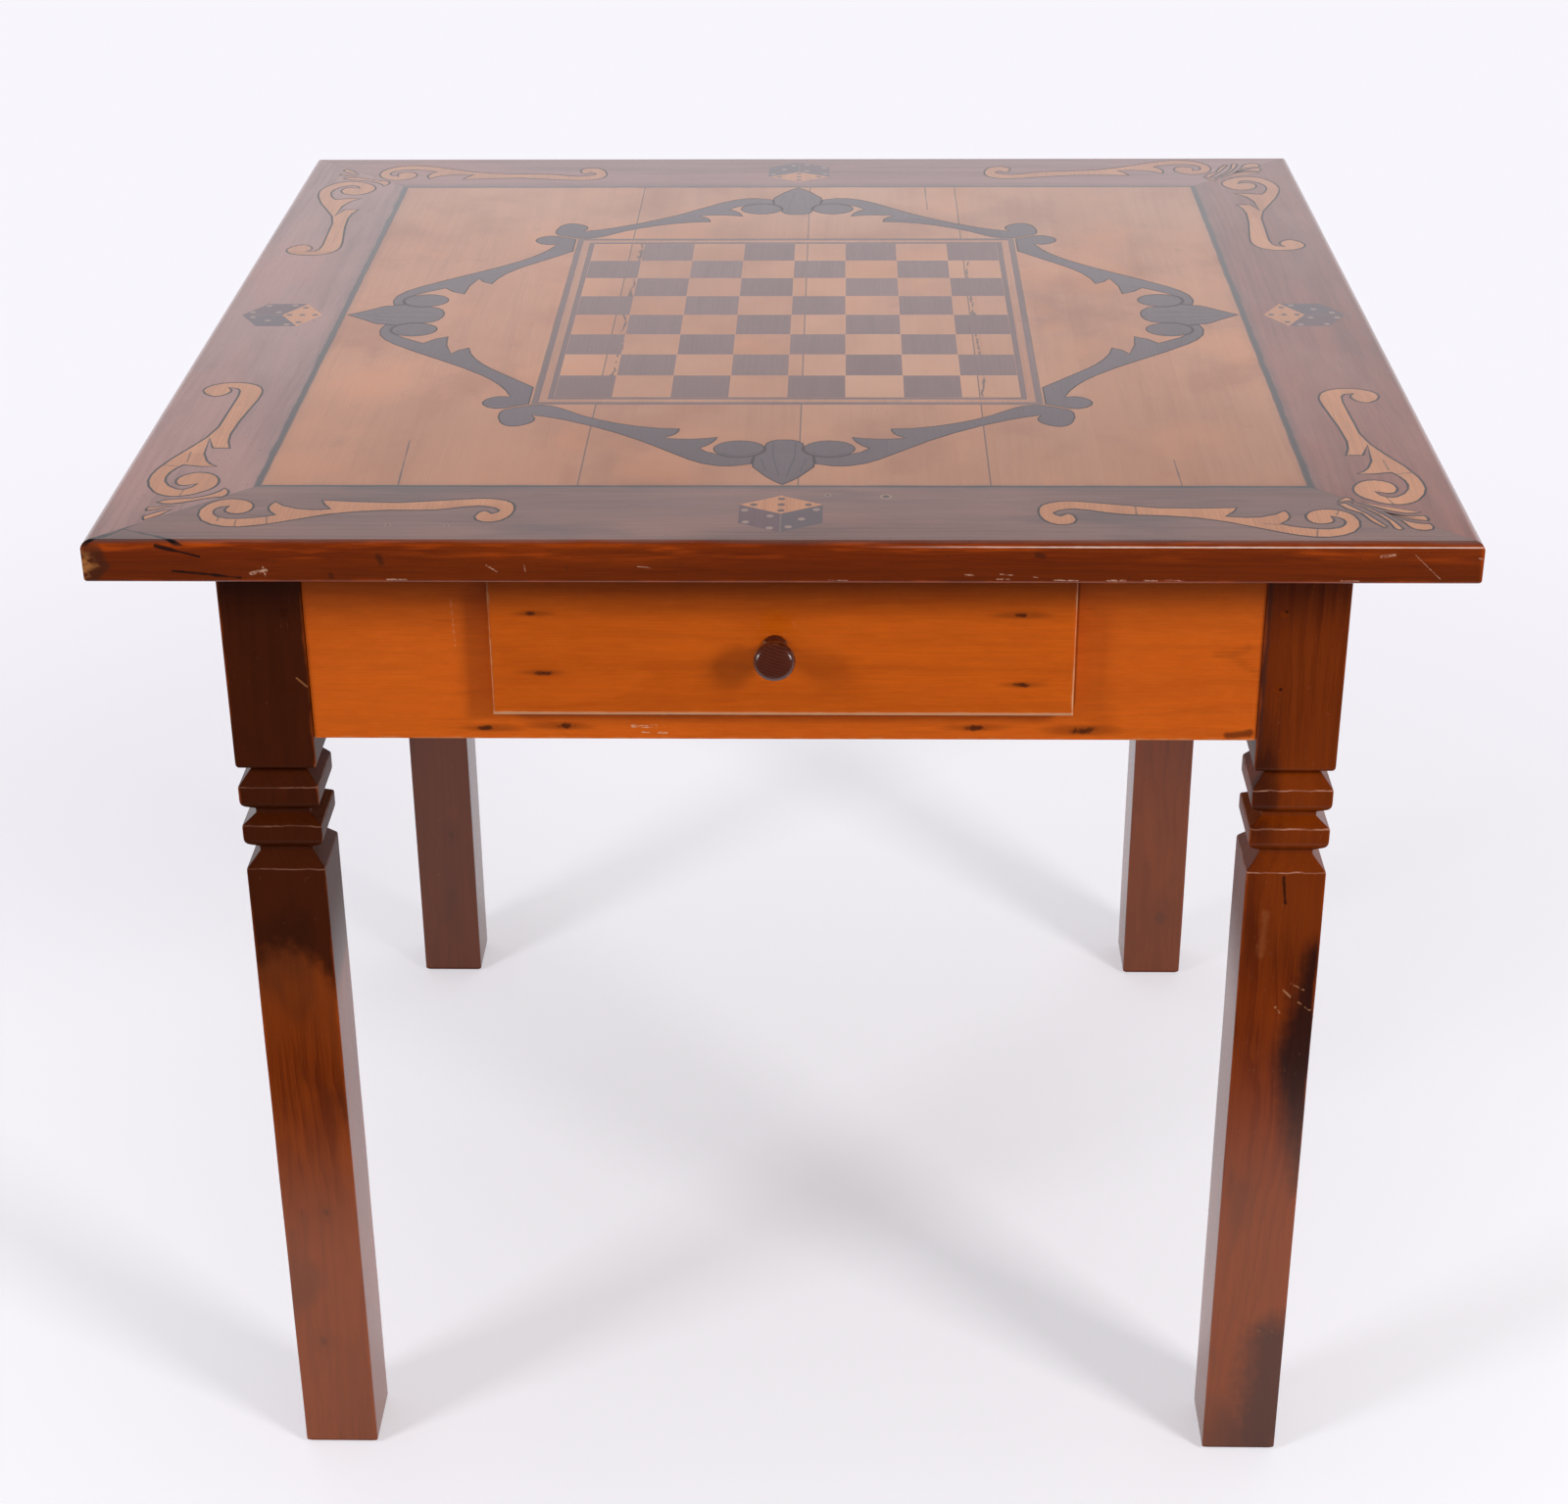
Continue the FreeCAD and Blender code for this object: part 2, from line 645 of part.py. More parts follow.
# A die is a hexagon: one light face towards the board and two dark faces outwards.
die_radius = value("die_radius")
die_pieces = {"light": [], "dark": []}
die_places = [
    (0, -(inner_y + value("die_in")), 0),
    (inner_x + value("die_in"), 0, 90),
    (0, inner_y + value("die_in"), 180),
    (-(inner_x + value("die_in")), 0, 270),
]
for number, (x, y, turn) in enumerate(die_places, start=1):
    across = FreeCAD.Rotation(Vector(0, 0, 1), turn)
    ring = [across.multVec(Vector(*hexagon_point(i, die_radius), 0)) for i in range(6)]
    ring = [(x + point.x, y + point.y) for point in ring]
    faces = [
        ("light", [ring[0], ring[1], (x, y), ring[5]]),
        ("dark", [ring[1], ring[2], ring[3], (x, y)]),
        ("dark", [ring[3], ring[4], ring[5], (x, y)]),
    ]
    for face_number, (shade, corners) in enumerate(faces, start=1):
        die_pieces[shade].append(flat_inlay(f"die_{number}_face_{face_number}", corners))

doc.recompute()

# ------------------------------------------------------- chequer and its bands
INLAY_LEVELS = (INLAY_BED, "total_height")


def square_box(name, column, row):
    """A dark square: the pitch less a hair on every side, so that the light squares hold together."""
    trim = "square_neck / 2"
    return block(
        name,
        (f"{column - 4} * square_width + {trim}", f"{column - 3} * square_width - {trim}"),
        (f"{row - 4} * square_depth + {trim}", f"{row - 3} * square_depth - {trim}"),
        INLAY_LEVELS,
    )


dark_places = [(c, r) for c in range(8) for r in range(8) if (c + r) % 2 == 0]
square_pieces = [square_box(f"dark_square_{c}_{r}", c, r) for c, r in dark_places]


def band(name, inside, outside):
    """Four mitred strips round the board, from one distance outside the squares to another."""
    near_x, near_y = f"({BOARD_X} + {inside})", f"({BOARD_Y} + {inside})"
    far_x, far_y = f"({BOARD_X} + {outside})", f"({BOARD_Y} + {outside})"
    strips = []
    for side, corners in (
        ("front", [(f"-{far_x}", f"-{far_y}"), (far_x, f"-{far_y}"), (near_x, f"-{near_y}"),
                   (f"-{near_x}", f"-{near_y}")]),
        ("right", [(far_x, f"-{far_y}"), (far_x, far_y), (near_x, near_y), (near_x, f"-{near_y}")]),
        ("back", [(far_x, far_y), (f"-{far_x}", far_y), (f"-{near_x}", near_y), (near_x, near_y)]),
        ("left", [(f"-{far_x}", far_y), (f"-{far_x}", f"-{far_y}"), (f"-{near_x}", f"-{near_y}"),
                  (f"-{near_x}", near_y)]),
    ):
        outline = doc.addObject("Sketcher::SketchObject", f"{name}_{side}_outline")
        bind(outline, "Placement.Base.z", INLAY_BED)
        polygon(outline, corners)
        strips.append(raised(f"{name}_{side}", outline))
    return group(name, strips)


BAND_EDGES = ["0", "dark_band", "dark_band + light_band", BAND_OUT]
keep("inner_dark_band", band("inner_dark_band", BAND_EDGES[0], BAND_EDGES[1]))
keep("light_band", band("light_band_strips", BAND_EDGES[1], BAND_EDGES[2]))
keep("outer_dark_band", band("outer_dark_band", BAND_EDGES[2], BAND_EDGES[3]))

keep("dark_squares", group("dark_squares", square_pieces))
keep("diamond_arms", group("diamond_arms", arm_pieces))
keep("diamond_fleurons", group("diamond_fleurons", leaf_pieces))
keep("diamond_discs", group("diamond_discs", disc_pieces))
keep("corner_scrolls", group("corner_scrolls", scroll_pieces))
keep("corner_palmettes", group("corner_palmettes", fan_pieces))
keep("dice_light_faces", group("dice_light_faces", die_pieces["light"]))
keep("dice_dark_faces", group("dice_dark_faces", die_pieces["dark"]))

FIELD_INLAYS = [
    "dark_squares", "inner_dark_band", "light_band", "outer_dark_band",
    "diamond_arms", "diamond_fleurons", "diamond_discs",
]
BORDER_INLAYS = ["corner_scrolls", "corner_palmettes", "dice_light_faces", "dice_dark_faces"]
field_inlays = group("field_inlays", [nodes[name] for name in FIELD_INLAYS])
border_inlays = group("border_inlays", [nodes[name] for name in BORDER_INLAYS])
doc.recompute()

# ------------------------------------------------------------- field planks
TONGUE_LEVELS = (f"{UNDER} + tongue_low", f"{UNDER} + tongue_low + tongue_thickness")
GROOVE_PLAY = "tongue_length + 1"
PLANKS = [
    ("field_plank_outer_left", f"-({INNER_X})", "-seam_left"),
    ("field_plank_inner_left", "-seam_left", "seam_middle"),
    ("field_plank_inner_right", "seam_middle", "seam_right"),
    ("field_plank_outer_right", "seam_right", INNER_X),
]


def plank(name, left, right, groove_left):
    """A plank with a tongue at both ends and on its right edge, and a tongue or groove on its left."""
    body = block(f"{name}_board", (left, right), (f"-({INNER_Y})", INNER_Y), (UNDER, "total_height"))
    tongue_left = left if groove_left else f"{left} - tongue_length"
    tongue = block(
        f"{name}_tongue",
        (tongue_left, f"{right} + tongue_length"),
        (f"-({INNER_Y}) + 1", f"{INNER_Y} - 1"),
        TONGUE_LEVELS,
    )
    ends = block(
        f"{name}_end_tongues",
        (left, right),
        (f"-({INNER_Y}) - tongue_length", f"{INNER_Y} + tongue_length"),
        TONGUE_LEVELS,
    )
    whole = fuse(f"{name}_whole", [body, tongue, ends])
    if groove_left:
        groove = block(
            f"{name}_groove",
            (f"{left} - 1", f"{left} + {GROOVE_PLAY}"),
            (f"-({INNER_Y}) - tongue_length - 1", f"{INNER_Y} + tongue_length + 1"),
            TONGUE_LEVELS,
        )
        whole = cut(f"{name}_grooved", whole, groove)
    return keep(name, cut(f"{name}_inlaid", whole, field_inlays))


for number, (name, left, right) in enumerate(PLANKS):
    plank(name, left, right, groove_left=number > 0)
doc.recompute()

# ------------------------------------------------------------ mitred frame
# Loose tongues lie across the mitres, a little in from the frame's inner corner.
SPLINE_LEVELS = (f"{UNDER} + spline_low", f"{UNDER} + spline_low + spline_thickness")
spline_reach = "(border_width * sqrt(2) - 44)"
splines = []
for number, (side_x, side_y) in enumerate(QUARTERS, start=1):
    strip = doc.addObject("Part::Box", f"mitre_spline_{number}")
    bind(strip, "Length", spline_reach)
    bind(strip, "Width", "spline_width")
    bind(strip, "Height", "spline_thickness")
    turn = math.degrees(math.atan2(side_y, side_x))
    c, s = math.cos(math.radians(turn)), math.sin(math.radians(turn))
    strip.Placement.Rotation = FreeCAD.Rotation(Vector(0, 0, 1), turn)
    start_x = f"{side_x} * ({INNER_X}) + 14 * {c:.9f} + spline_width / 2 * {s:.9f}"
    start_y = f"{side_y} * ({INNER_Y}) + 14 * {s:.9f} - spline_width / 2 * {c:.9f}"
    bind(strip, "Placement.Base.x", start_x)
    bind(strip, "Placement.Base.y", start_y)
    bind(strip, "Placement.Base.z", SPLINE_LEVELS[0])
    splines.append(strip)
keep("mitre_splines", group("mitre_splines", splines))


def border(name, long_side, offset, turn):
    """A frame board: rounded outer edge, groove for the planks, mitred ends."""
    body = new_body(f"{name}_board")
    half = f"({long_side} / 2)"
    section = new_sketch(body, "YZ_Plane", f"{name}_section")
    wide, thick = value("border_width"), value("top_thickness")
    upper, lower = value("border_top_round"), value("border_low_round")
    corners = [
        Vector(lower, 0, 0), Vector(wide, 0, 0), Vector(wide, thick, 0),
        Vector(upper, thick, 0), Vector(0, thick - upper, 0), Vector(0, lower, 0),
    ]
    centre_up, centre_low = Vector(upper, thick - upper, 0), Vector(lower, lower, 0)
    axis = Vector(0, 0, 1)
    section.addGeometry(Part.LineSegment(corners[0], corners[1]), False)
    section.addGeometry(Part.LineSegment(corners[1], corners[2]), False)
    section.addGeometry(Part.LineSegment(corners[2], corners[3]), False)
    section.addGeometry(
        Part.ArcOfCircle(Part.Circle(centre_up, axis, upper), math.pi / 2, math.pi), False
    )
    section.addGeometry(Part.LineSegment(corners[4], corners[5]), False)
    section.addGeometry(
        Part.ArcOfCircle(Part.Circle(centre_low, axis, lower), math.pi, 1.5 * math.pi), False
    )
    joints = [(0, 2, 1, 1), (1, 2, 2, 1), (3, 2, 4, 1)]
    tangents = [(2, 2, 3, 1), (4, 2, 5, 1), (5, 2, 0, 1)]
    for joint in joints[:2]:
        section.addConstraint(Sketcher.Constraint("Coincident", *joint))
    for joint in tangents + joints[2:]:
        section.addConstraint(Sketcher.Constraint("Tangent", *joint))
    section.addConstraint(Sketcher.Constraint("Horizontal", 0))
    section.addConstraint(Sketcher.Constraint("Vertical", 1))
    section.addConstraint(Sketcher.Constraint("Horizontal", 2))
    section.addConstraint(Sketcher.Constraint("Vertical", 4))
    section.addConstraint(Sketcher.Constraint("PointOnObject", 5, 2, -1))
    section.addConstraint(Sketcher.Constraint("PointOnObject", 4, 1, -2))
    for constraint, words in (
        (Sketcher.Constraint("DistanceX", -1, 1, 1, 1, wide), "border_width"),
        (Sketcher.Constraint("DistanceY", 1, 1, 1, 2, thick), "top_thickness"),
        (Sketcher.Constraint("Radius", 3, upper), "border_top_round"),
        (Sketcher.Constraint("Radius", 5, lower), "border_low_round"),
    ):
        index = section.addConstraint(constraint)
        bind(section, f"Constraints[{index}]", words)
    pad(body, section, f"{name}_bar", long_side, symmetric=True)

    groove = new_sketch(body, "YZ_Plane", f"{name}_groove_section")
    rectangle(groove, f"border_width - ({GROOVE_PLAY})", "border_width + 1",
              "tongue_low", "tongue_low + tongue_thickness")
    pocket(body, groove, f"{name}_groove", f"{long_side} + 2", symmetric=True)

    ends = new_sketch(body, "XY_Plane", f"{name}_mitre_outline")
    for side in ("", "-"):
        inner = f"{side}({half} - border_width - 1)"
        polygon(ends, [(f"{side}({half} + 1)", "-1"), (f"{side}({half} + 1)", "border_width + 1"),
                       (inner, "border_width + 1")])
    pocket(body, ends, f"{name}_mitres", "2 * top_thickness + 2", symmetric=True)
    body.Tip = body.Group[-1]
    x, y = offset
    place(body, x, y, UNDER, turn)
    splined = cut(f"{name}_splined", body, nodes["mitre_splines"])
    return keep(name, cut(f"{name}_inlaid", splined, border_inlays))


border("border_front", "top_width", ("0", "-top_depth / 2"), 0)
border("border_right", "top_depth", ("top_width / 2", "0"), 90)
border("border_back", "top_width", ("0", "top_depth / 2"), 180)
border("border_left", "top_depth", ("-top_width / 2", "0"), 270)
doc.recompute()

# -------------------------------------------------------------------- legs
# Each groove: how far its four corners lie below the aprons, and whether at the neck.
GROOVES = [
    [(22.3, 0), (23.0, 1), (25.2, 1), (36.1, 0)],
    [(50.0, 0), (55.9, 1), (59.2, 1), (65.1, 0)],
    [(78.4, 0), (84.8, 1), (88.1, 1), (97.9, 0)],
]
MORTISE_OFFSET = "apron_setback + tenon_offset"
APRON_LOW = "apron_low"


def leg(name, x, y, turn):
    """A square post. Before turning, its outer faces are -X and -Y and its mortises are in +X and +Y."""
    body = new_body(name)
    half = "leg_width / 2"
    foot = new_sketch(body, "XY_Plane", f"{name}_foot")
    rectangle(foot, f"-{half}", half, f"-{half}", half)
    post = pad(body, foot, f"{name}_post", UNDER)

    notch = new_sketch(body, "XZ_Plane", f"{name}_groove_outline")
    for ring in GROOVES:
        corners = [(f"{half} - {neck} * neck_depth", f"apron_low - {drop}") for drop, neck in ring]
        first, last = corners[0], corners[-1]
        corners = [(f"{half} + 5", first[1])] + corners + [(f"{half} + 5", last[1])]
        polygon(notch, corners)
    grooves = pocket(body, notch, f"{name}_groove_side", "leg_width + 2", symmetric=True)
    around = body.newObject("PartDesign::PolarPattern", f"{name}_grooves")
    around.Originals = [grooves]
    z_axis = origin_plane(body, "Z_Axis")
    around.Axis = (z_axis, [""])
    around.Angle = 360
    around.Occurrences = 4
    body.Tip = around
    doc.recompute()

    low, high = f"{APRON_LOW} + tenon_low", f"{APRON_LOW} + tenon_low + tenon_height"
    near = f"-{half} + {MORTISE_OFFSET}"
    bottom = f"{half} - tenon_length - mortise_end_gap"
    depth = "tenon_length + mortise_end_gap"
    first = new_sketch(body, "YZ_Plane", f"{name}_mortise_outline_x", bottom)
    rectangle(first, near, f"{near} + tenon_thickness", low, high)
    pocket(body, first, f"{name}_mortise_x", f"{depth} + 1", reverse=True)
    second = new_sketch(body, "XZ_Plane", f"{name}_mortise_outline_y", f"-({bottom})")
    rectangle(second, near, f"{near} + tenon_thickness", low, high)
    pocket(body, second, f"{name}_mortise_y", f"{depth} + 1")

    inset = f"{half} - peg_inset"
    for plane, outer, back in (("XZ_Plane", f"{half} + 1", False), ("YZ_Plane", f"-{half} - 1", True)):
        holes = new_sketch(body, plane, f"{name}_peg_outline_{plane[0]}", outer)
        for height in ("peg_high", "peg_low"):
            octagon(holes, inset, height, "peg_radius + peg_gap")
        pocket(body, holes, f"{name}_peg_holes_{plane[0]}", "peg_length + 1.5", reverse=back)

    drilled = body.Group[-1]
    floor_face = [
        f"Face{i + 1}" for i, face in enumerate(drilled.Shape.Faces)
        if abs(face.CenterOfMass.z) < 1e-6
    ]
    ease = body.newObject("PartDesign::Chamfer", f"{name}_foot_ease")
    ease.Base = (drilled, floor_face)
    bind(ease, "Size", "foot_ease")
    body.Tip = ease
    doc.recompute()
    place(body, x, y, "0", turn)
    return keep(name, body)


leg("leg_front_left", "-leg_spread_x", "-leg_spread_y", 0)
leg("leg_front_right", "leg_spread_x", "-leg_spread_y", 90)
leg("leg_back_right", "leg_spread_x", "leg_spread_y", 180)
leg("leg_back_left", "-leg_spread_x", "leg_spread_y", 270)


# ------------------------------------------------------------------ aprons
SIDE_FACE = "opening_half_width - side_clearance"
RUNNER_OUT = f"({SIDE_FACE} + guide_gap + guide_width)"
APRON_OUT_X = "leg_spread_x + leg_width / 2 - apron_setback"
APRON_OUT_Y = "leg_spread_y + leg_width / 2 - apron_setback"


# An apron lies along its own X with its outer face at -Y and its lower edge on Z = 0.
def apron(name, half_span, offset, turn, opening=False, runner_housings=False):
    body = new_body(name)
    board = new_sketch(body, "XZ_Plane", f"{name}_face")
    rectangle(board, f"-({half_span})", half_span, "0", "apron_height")
    if opening:
        rectangle(board, "-opening_half_width", "opening_half_width",
                  f"opening_low - ({APRON_LOW})", f"opening_high - ({APRON_LOW})")
    pad(body, board, f"{name}_board", "apron_thickness", reverse=True)
    tenons = new_sketch(body, "XZ_Plane", f"{name}_tenon_face", "-tenon_offset")
    for side in ("-", ""):
        near, far = f"{side}({half_span})", f"{side}({half_span} + tenon_length)"
        polygon(tenons, [(near, "tenon_low"), (far, "tenon_low"),
                         (far, "tenon_low + tenon_height"), (near, "tenon_low + tenon_height")])
    pad(body, tenons, f"{name}_tenons", "tenon_thickness", reverse=True)
    holes = new_sketch(body, "XZ_Plane", f"{name}_peg_outline")
    for side in ("-", ""):
        for height in ("peg_high", "peg_low"):
            octagon(holes, f"{side}({half_span} + peg_inset)", f"{height} - ({APRON_LOW})",
                    "peg_radius + peg_gap")
    pocket(body, holes, f"{name}_peg_holes", "2 * apron_thickness + 2", symmetric=True)
    if runner_housings:
        beds = new_sketch(body, "XZ_Plane", f"{name}_runner_outline", "-apron_thickness")
        top = f"side_low - running_gap - ({APRON_LOW})"
        for side in ("-", ""):
            inner = f"{side}({RUNNER_OUT} - runner_width)"
            outer = f"{side}({RUNNER_OUT})"
            polygon(beds, [(inner, f"{top} - runner_height"), (outer, f"{top} - runner_height"),
                           (outer, top), (inner, top)])
        pocket(body, beds, f"{name}_runner_beds", "runner_housing", reverse=True)
    body.Tip = body.Group[-1]
    x, y = offset
    place(body, x, y, APRON_LOW, turn)
    return keep(name, body)


apron("apron_front", "leg_spread_x - leg_width / 2", ("0", f"-({APRON_OUT_Y})"), 0,
      opening=True, runner_housings=True)
apron("apron_right", "leg_spread_y - leg_width / 2", (APRON_OUT_X, "0"), 90)
apron("apron_back", "leg_spread_x - leg_width / 2", ("0", APRON_OUT_Y), 180, runner_housings=True)
apron("apron_left", "leg_spread_y - leg_width / 2", (f"-({APRON_OUT_X})", "0"), 270)


# -------------------------------------------------------------------- pegs
def peg(name, x, y, z, turn):
    """An eight-sided peg that starts flush with the post's face and runs inwards."""
    pin = doc.addObject("Part::Prism", name)
    pin.Polygon = 8
    bind(pin, "Circumradius", "peg_radius")
    bind(pin, "Height", "peg_length")
    inward = FreeCAD.Rotation(Vector(0, 0, 1), turn) * FreeCAD.Rotation(Vector(1, 0, 0), -90)
    pin.Placement.Rotation = inward
    bind(pin, "Placement.Base.x", x)
    bind(pin, "Placement.Base.y", y)
    bind(pin, "Placement.Base.z", z)
    return pin


pegs = []
for height in ("peg_high", "peg_low"):
    for side_x, side_y in QUARTERS:
        along_x = f"{side_x} * (leg_spread_x - leg_width / 2 + peg_inset)"
        outer_y = f"{side_y} * (leg_spread_y + leg_width / 2)"
        pegs.append(peg(f"peg_{len(pegs) + 1}", along_x, outer_y, height, 0 if side_y < 0 else 180))
        along_y = f"{side_y} * (leg_spread_y - leg_width / 2 + peg_inset)"
        outer_x = f"{side_x} * (leg_spread_x + leg_width / 2)"
        pegs.append(peg(f"peg_{len(pegs) + 1}", outer_x, along_y, height, 90 if side_x > 0 else -90))
keep("tenon_pegs", group("tenon_pegs", pegs))

# ------------------------------------------- glue blocks, runners and kickers
APRON_IN_X = f"({APRON_OUT_X} - apron_thickness)"
APRON_IN_Y = f"({APRON_OUT_Y} - apron_thickness)"
BLOCK_LEVELS = (f"{UNDER} - block_side", UNDER)
SIDE_BLOCK = "0.44 * leg_spread_y"
BACK_BLOCK = "0.22 * leg_spread_x"
FRONT_BLOCK = "(leg_spread_x - leg_width / 2 - 1.15 * block_length)"


def block_pair(name, side, middle, along_y):
    """Two glue blocks in the angle between one apron and the top."""
    wall = f"{side} * {APRON_IN_X if along_y else APRON_IN_Y}"
    across = sorted((wall, f"{wall} - {side} * block_side"), key=value)
    for end in (-1, 1):
        along = (f"{end} * {middle} - block_length / 2", f"{end} * {middle} + block_length / 2")
        spans = (across, along) if along_y else (along, across)
        yield block(f"{name}_{end + 2}", *spans, BLOCK_LEVELS)


blocks = [
    *block_pair("glue_block_left", -1, SIDE_BLOCK, True),
    *block_pair("glue_block_right", 1, SIDE_BLOCK, True),
    *block_pair("glue_block_back", 1, BACK_BLOCK, False),
    *block_pair("glue_block_front", -1, FRONT_BLOCK, False),
]
keep("glue_blocks", group("glue_blocks", blocks))

RUNNER_TOP = "side_low - running_gap"


def rail_pair(side, name):
    """The runner with its guide, let into both aprons, and the kicker above it."""
    def between(near, far):
        pair = (f"{side} * ({near})", f"{side} * ({far})")
        return sorted(pair, key=value)

    runner = fuse(
        f"runner_{name}",
        [
            block(f"runner_{name}_bed", between(f"{RUNNER_OUT} - runner_width", RUNNER_OUT),
                  (f"-{APRON_IN_Y} - runner_housing", f"{APRON_IN_Y} + runner_housing"),
                  (f"{RUNNER_TOP} - runner_height", RUNNER_TOP)),
            block(f"runner_{name}_guide", between(f"{RUNNER_OUT} - guide_width", RUNNER_OUT),
                  (f"-{APRON_IN_Y}", APRON_IN_Y), (RUNNER_TOP, f"{RUNNER_TOP} + guide_height")),
        ],
    )
    keep(f"runner_{name}", runner)
    kicker = block(
        f"kicker_{name}",
        between(f"{SIDE_FACE} + 9 - kicker_width", f"{SIDE_FACE} + 9"),
        (f"-{APRON_IN_Y}", APRON_IN_Y),
        ("side_high + kicker_gap", UNDER),
    )
    keep(f"kicker_{name}", kicker)


rail_pair(-1, "left")
rail_pair(1, "right")
doc.recompute()

# ------------------------------------------------------------------ drawer
FRONT_BACK = f"-({APRON_OUT_Y}) - front_gap"
BOX_END = f"{FRONT_BACK} + drawer_length"
BACK_REAR = f"{BOX_END} - back_inset"
BACK_FACE = f"{BACK_REAR} - side_thickness"


def drawer_front():
    """The overlay front: rounded edges, housings for the sides, groove for the bottom, knob hole."""
    name = "drawer_front"
    body = new_body(name)
    face = new_sketch(body, "XZ_Plane", f"{name}_face")
    rectangle(face, "-front_half_width", "front_half_width", "front_low", "front_high")
    board = pad(body, face, f"{name}_board", "front_thickness")
    front_face = [
        f"Face{i + 1}" for i, item in enumerate(board.Shape.Faces)
        if abs(item.CenterOfMass.y + value("front_thickness")) < 1e-6
    ]
    rounded = body.newObject("PartDesign::Fillet", f"{name}_round")
    rounded.Base = (board, front_face)
    bind(rounded, "Radius", "front_round")
    body.Tip = rounded
    doc.recompute()
    beds = new_sketch(body, "XZ_Plane", f"{name}_housing_outline")
    for side in ("-", ""):
        near, far = f"{side}({SIDE_FACE} - side_thickness)", f"{side}({SIDE_FACE})"
        polygon(beds, [(near, "side_low"), (far, "side_low"), (far, "side_high"), (near, "side_high")])
    pocket(body, beds, f"{name}_housings", "housing_depth", reverse=True)
    groove = new_sketch(body, "XZ_Plane", f"{name}_groove_outline")
    rectangle(groove, f"-({SIDE_FACE} - side_thickness)", f"{SIDE_FACE} - side_thickness",
              "bottom_low", "bottom_low + bottom_thickness")
    pocket(body, groove, f"{name}_groove", "bottom_groove", reverse=True)
    hole = new_sketch(body, "XZ_Plane", f"{name}_knob_outline")
    circle(hole, "knob_shift", "knob_height", "knob_spigot + knob_spigot_gap")
    pocket(body, hole, f"{name}_knob_hole", "2 * front_thickness + 4", symmetric=True)
    body.Tip = body.Group[-1]
    place(body, "0", FRONT_BACK, "0")
    return keep(name, body)


drawer_front()


def drawer_side(name, side):
    def between(near, far):
        return sorted((f"{side} * ({near})", f"{side} * ({far})"), key=value)

    board = block(f"{name}_board", between(f"{SIDE_FACE} - side_thickness", SIDE_FACE),
                  (f"{FRONT_BACK} - housing_depth", BOX_END), ("side_low", "side_high"))
    groove = block(f"{name}_groove",
                   between(f"{SIDE_FACE} - side_thickness - 1", f"{SIDE_FACE} - side_thickness + bottom_groove"),
                   (f"{FRONT_BACK} - housing_depth - 1", f"{BOX_END} + 1"),
                   ("bottom_low", "bottom_low + bottom_thickness"))
    housing = block(f"{name}_housing",
                    between(f"{SIDE_FACE} - side_thickness - 1", f"{SIDE_FACE} - side_thickness + back_housing"),
                    (BACK_FACE, BACK_REAR), ("bottom_low + bottom_thickness", "side_high + 1"))
    return keep(name, cut(name, board, fuse(f"{name}_cuts", [groove, housing])))


drawer_side("drawer_side_left", -1)
drawer_side("drawer_side_right", 1)

INSIDE = f"({SIDE_FACE} - side_thickness)"
keep("drawer_back", block(
    "drawer_back", (f"-({INSIDE} + back_housing)", f"{INSIDE} + back_housing"),
    (BACK_FACE, BACK_REAR), ("bottom_low + bottom_thickness", "side_high - 5")))
panel = block(
    "drawer_bottom_panel", (f"-({INSIDE} + bottom_groove)", f"{INSIDE} + bottom_groove"),
    (FRONT_BACK, BACK_REAR), ("bottom_low", "bottom_low + bottom_thickness"))
panel_lip = block(
    "drawer_bottom_lip", (f"-{INSIDE}", INSIDE),
    (f"{FRONT_BACK} - bottom_groove", FRONT_BACK), ("bottom_low", "bottom_low + bottom_thickness"))
keep("drawer_bottom", fuse("drawer_bottom", [panel, panel_lip]))


def drawer_knob():
    """Turned knob: spigot, collar, waisted neck and a round slightly raised face."""
    name = "drawer_knob"
    body = new_body(name)
    outline = new_sketch(body, "XY_Plane", f"{name}_profile")
    face, collar, neck = value("knob_radius"), value("knob_collar"), value("knob_neck")
    spigot, reach = value("knob_spigot"), value("knob_length")
    through = value("front_thickness")
    # The turner's straight cuts: radius, distance from the drawer front.
    corners = [
        (0, -through), (spigot, -through), (spigot, 0), (collar, 0), (collar, 2.2), (neck, 6.5),
        (neck + 0.4, 11.5), (face - 2.2, reach - 10), (face, reach - 7), (face - 0.3, reach - 3),
        (face - 2.4, reach - 1.1), (0, reach),
    ]
    points = [Vector(x, -y, 0) for x, y in corners]
    count = len(points)
    for index in range(count):
        outline.addGeometry(Part.LineSegment(points[index], points[(index + 1) % count]), False)
    for index in range(count):
        outline.addConstraint(
            Sketcher.Constraint("Coincident", index, 2, (index + 1) % count, 1)
        )
    outline.addConstraint(Sketcher.Constraint("PointOnObject", 0, 1, -2))
    outline.addConstraint(Sketcher.Constraint("PointOnObject", count - 1, 1, -2))
    turned = body.newObject("PartDesign::Revolution", f"{name}_turned")
    turned.Profile = outline
    turned.ReferenceAxis = (outline, ["V_Axis"])
    turned.Angle = 360
    body.Tip = turned
    doc.recompute()
    place(body, "knob_shift", f"{FRONT_BACK} - front_thickness", "knob_height")
    return keep(name, body)


drawer_knob()
doc.recompute()

# ------------------------------------------------------------------- write
for thing in doc.Objects:
    if "Invalid" in thing.State or "Error" in thing.State:
        raise RuntimeError(f"{thing.Name} ({thing.Label}) is {thing.State}")
for name, thing in nodes.items():
    shape = thing.Shape
    if shape.isNull() or not shape.isValid():
        raise RuntimeError(f"{name} has no valid shape")
    if not shape.Solids:
        raise RuntimeError(f"{name} has no solid")

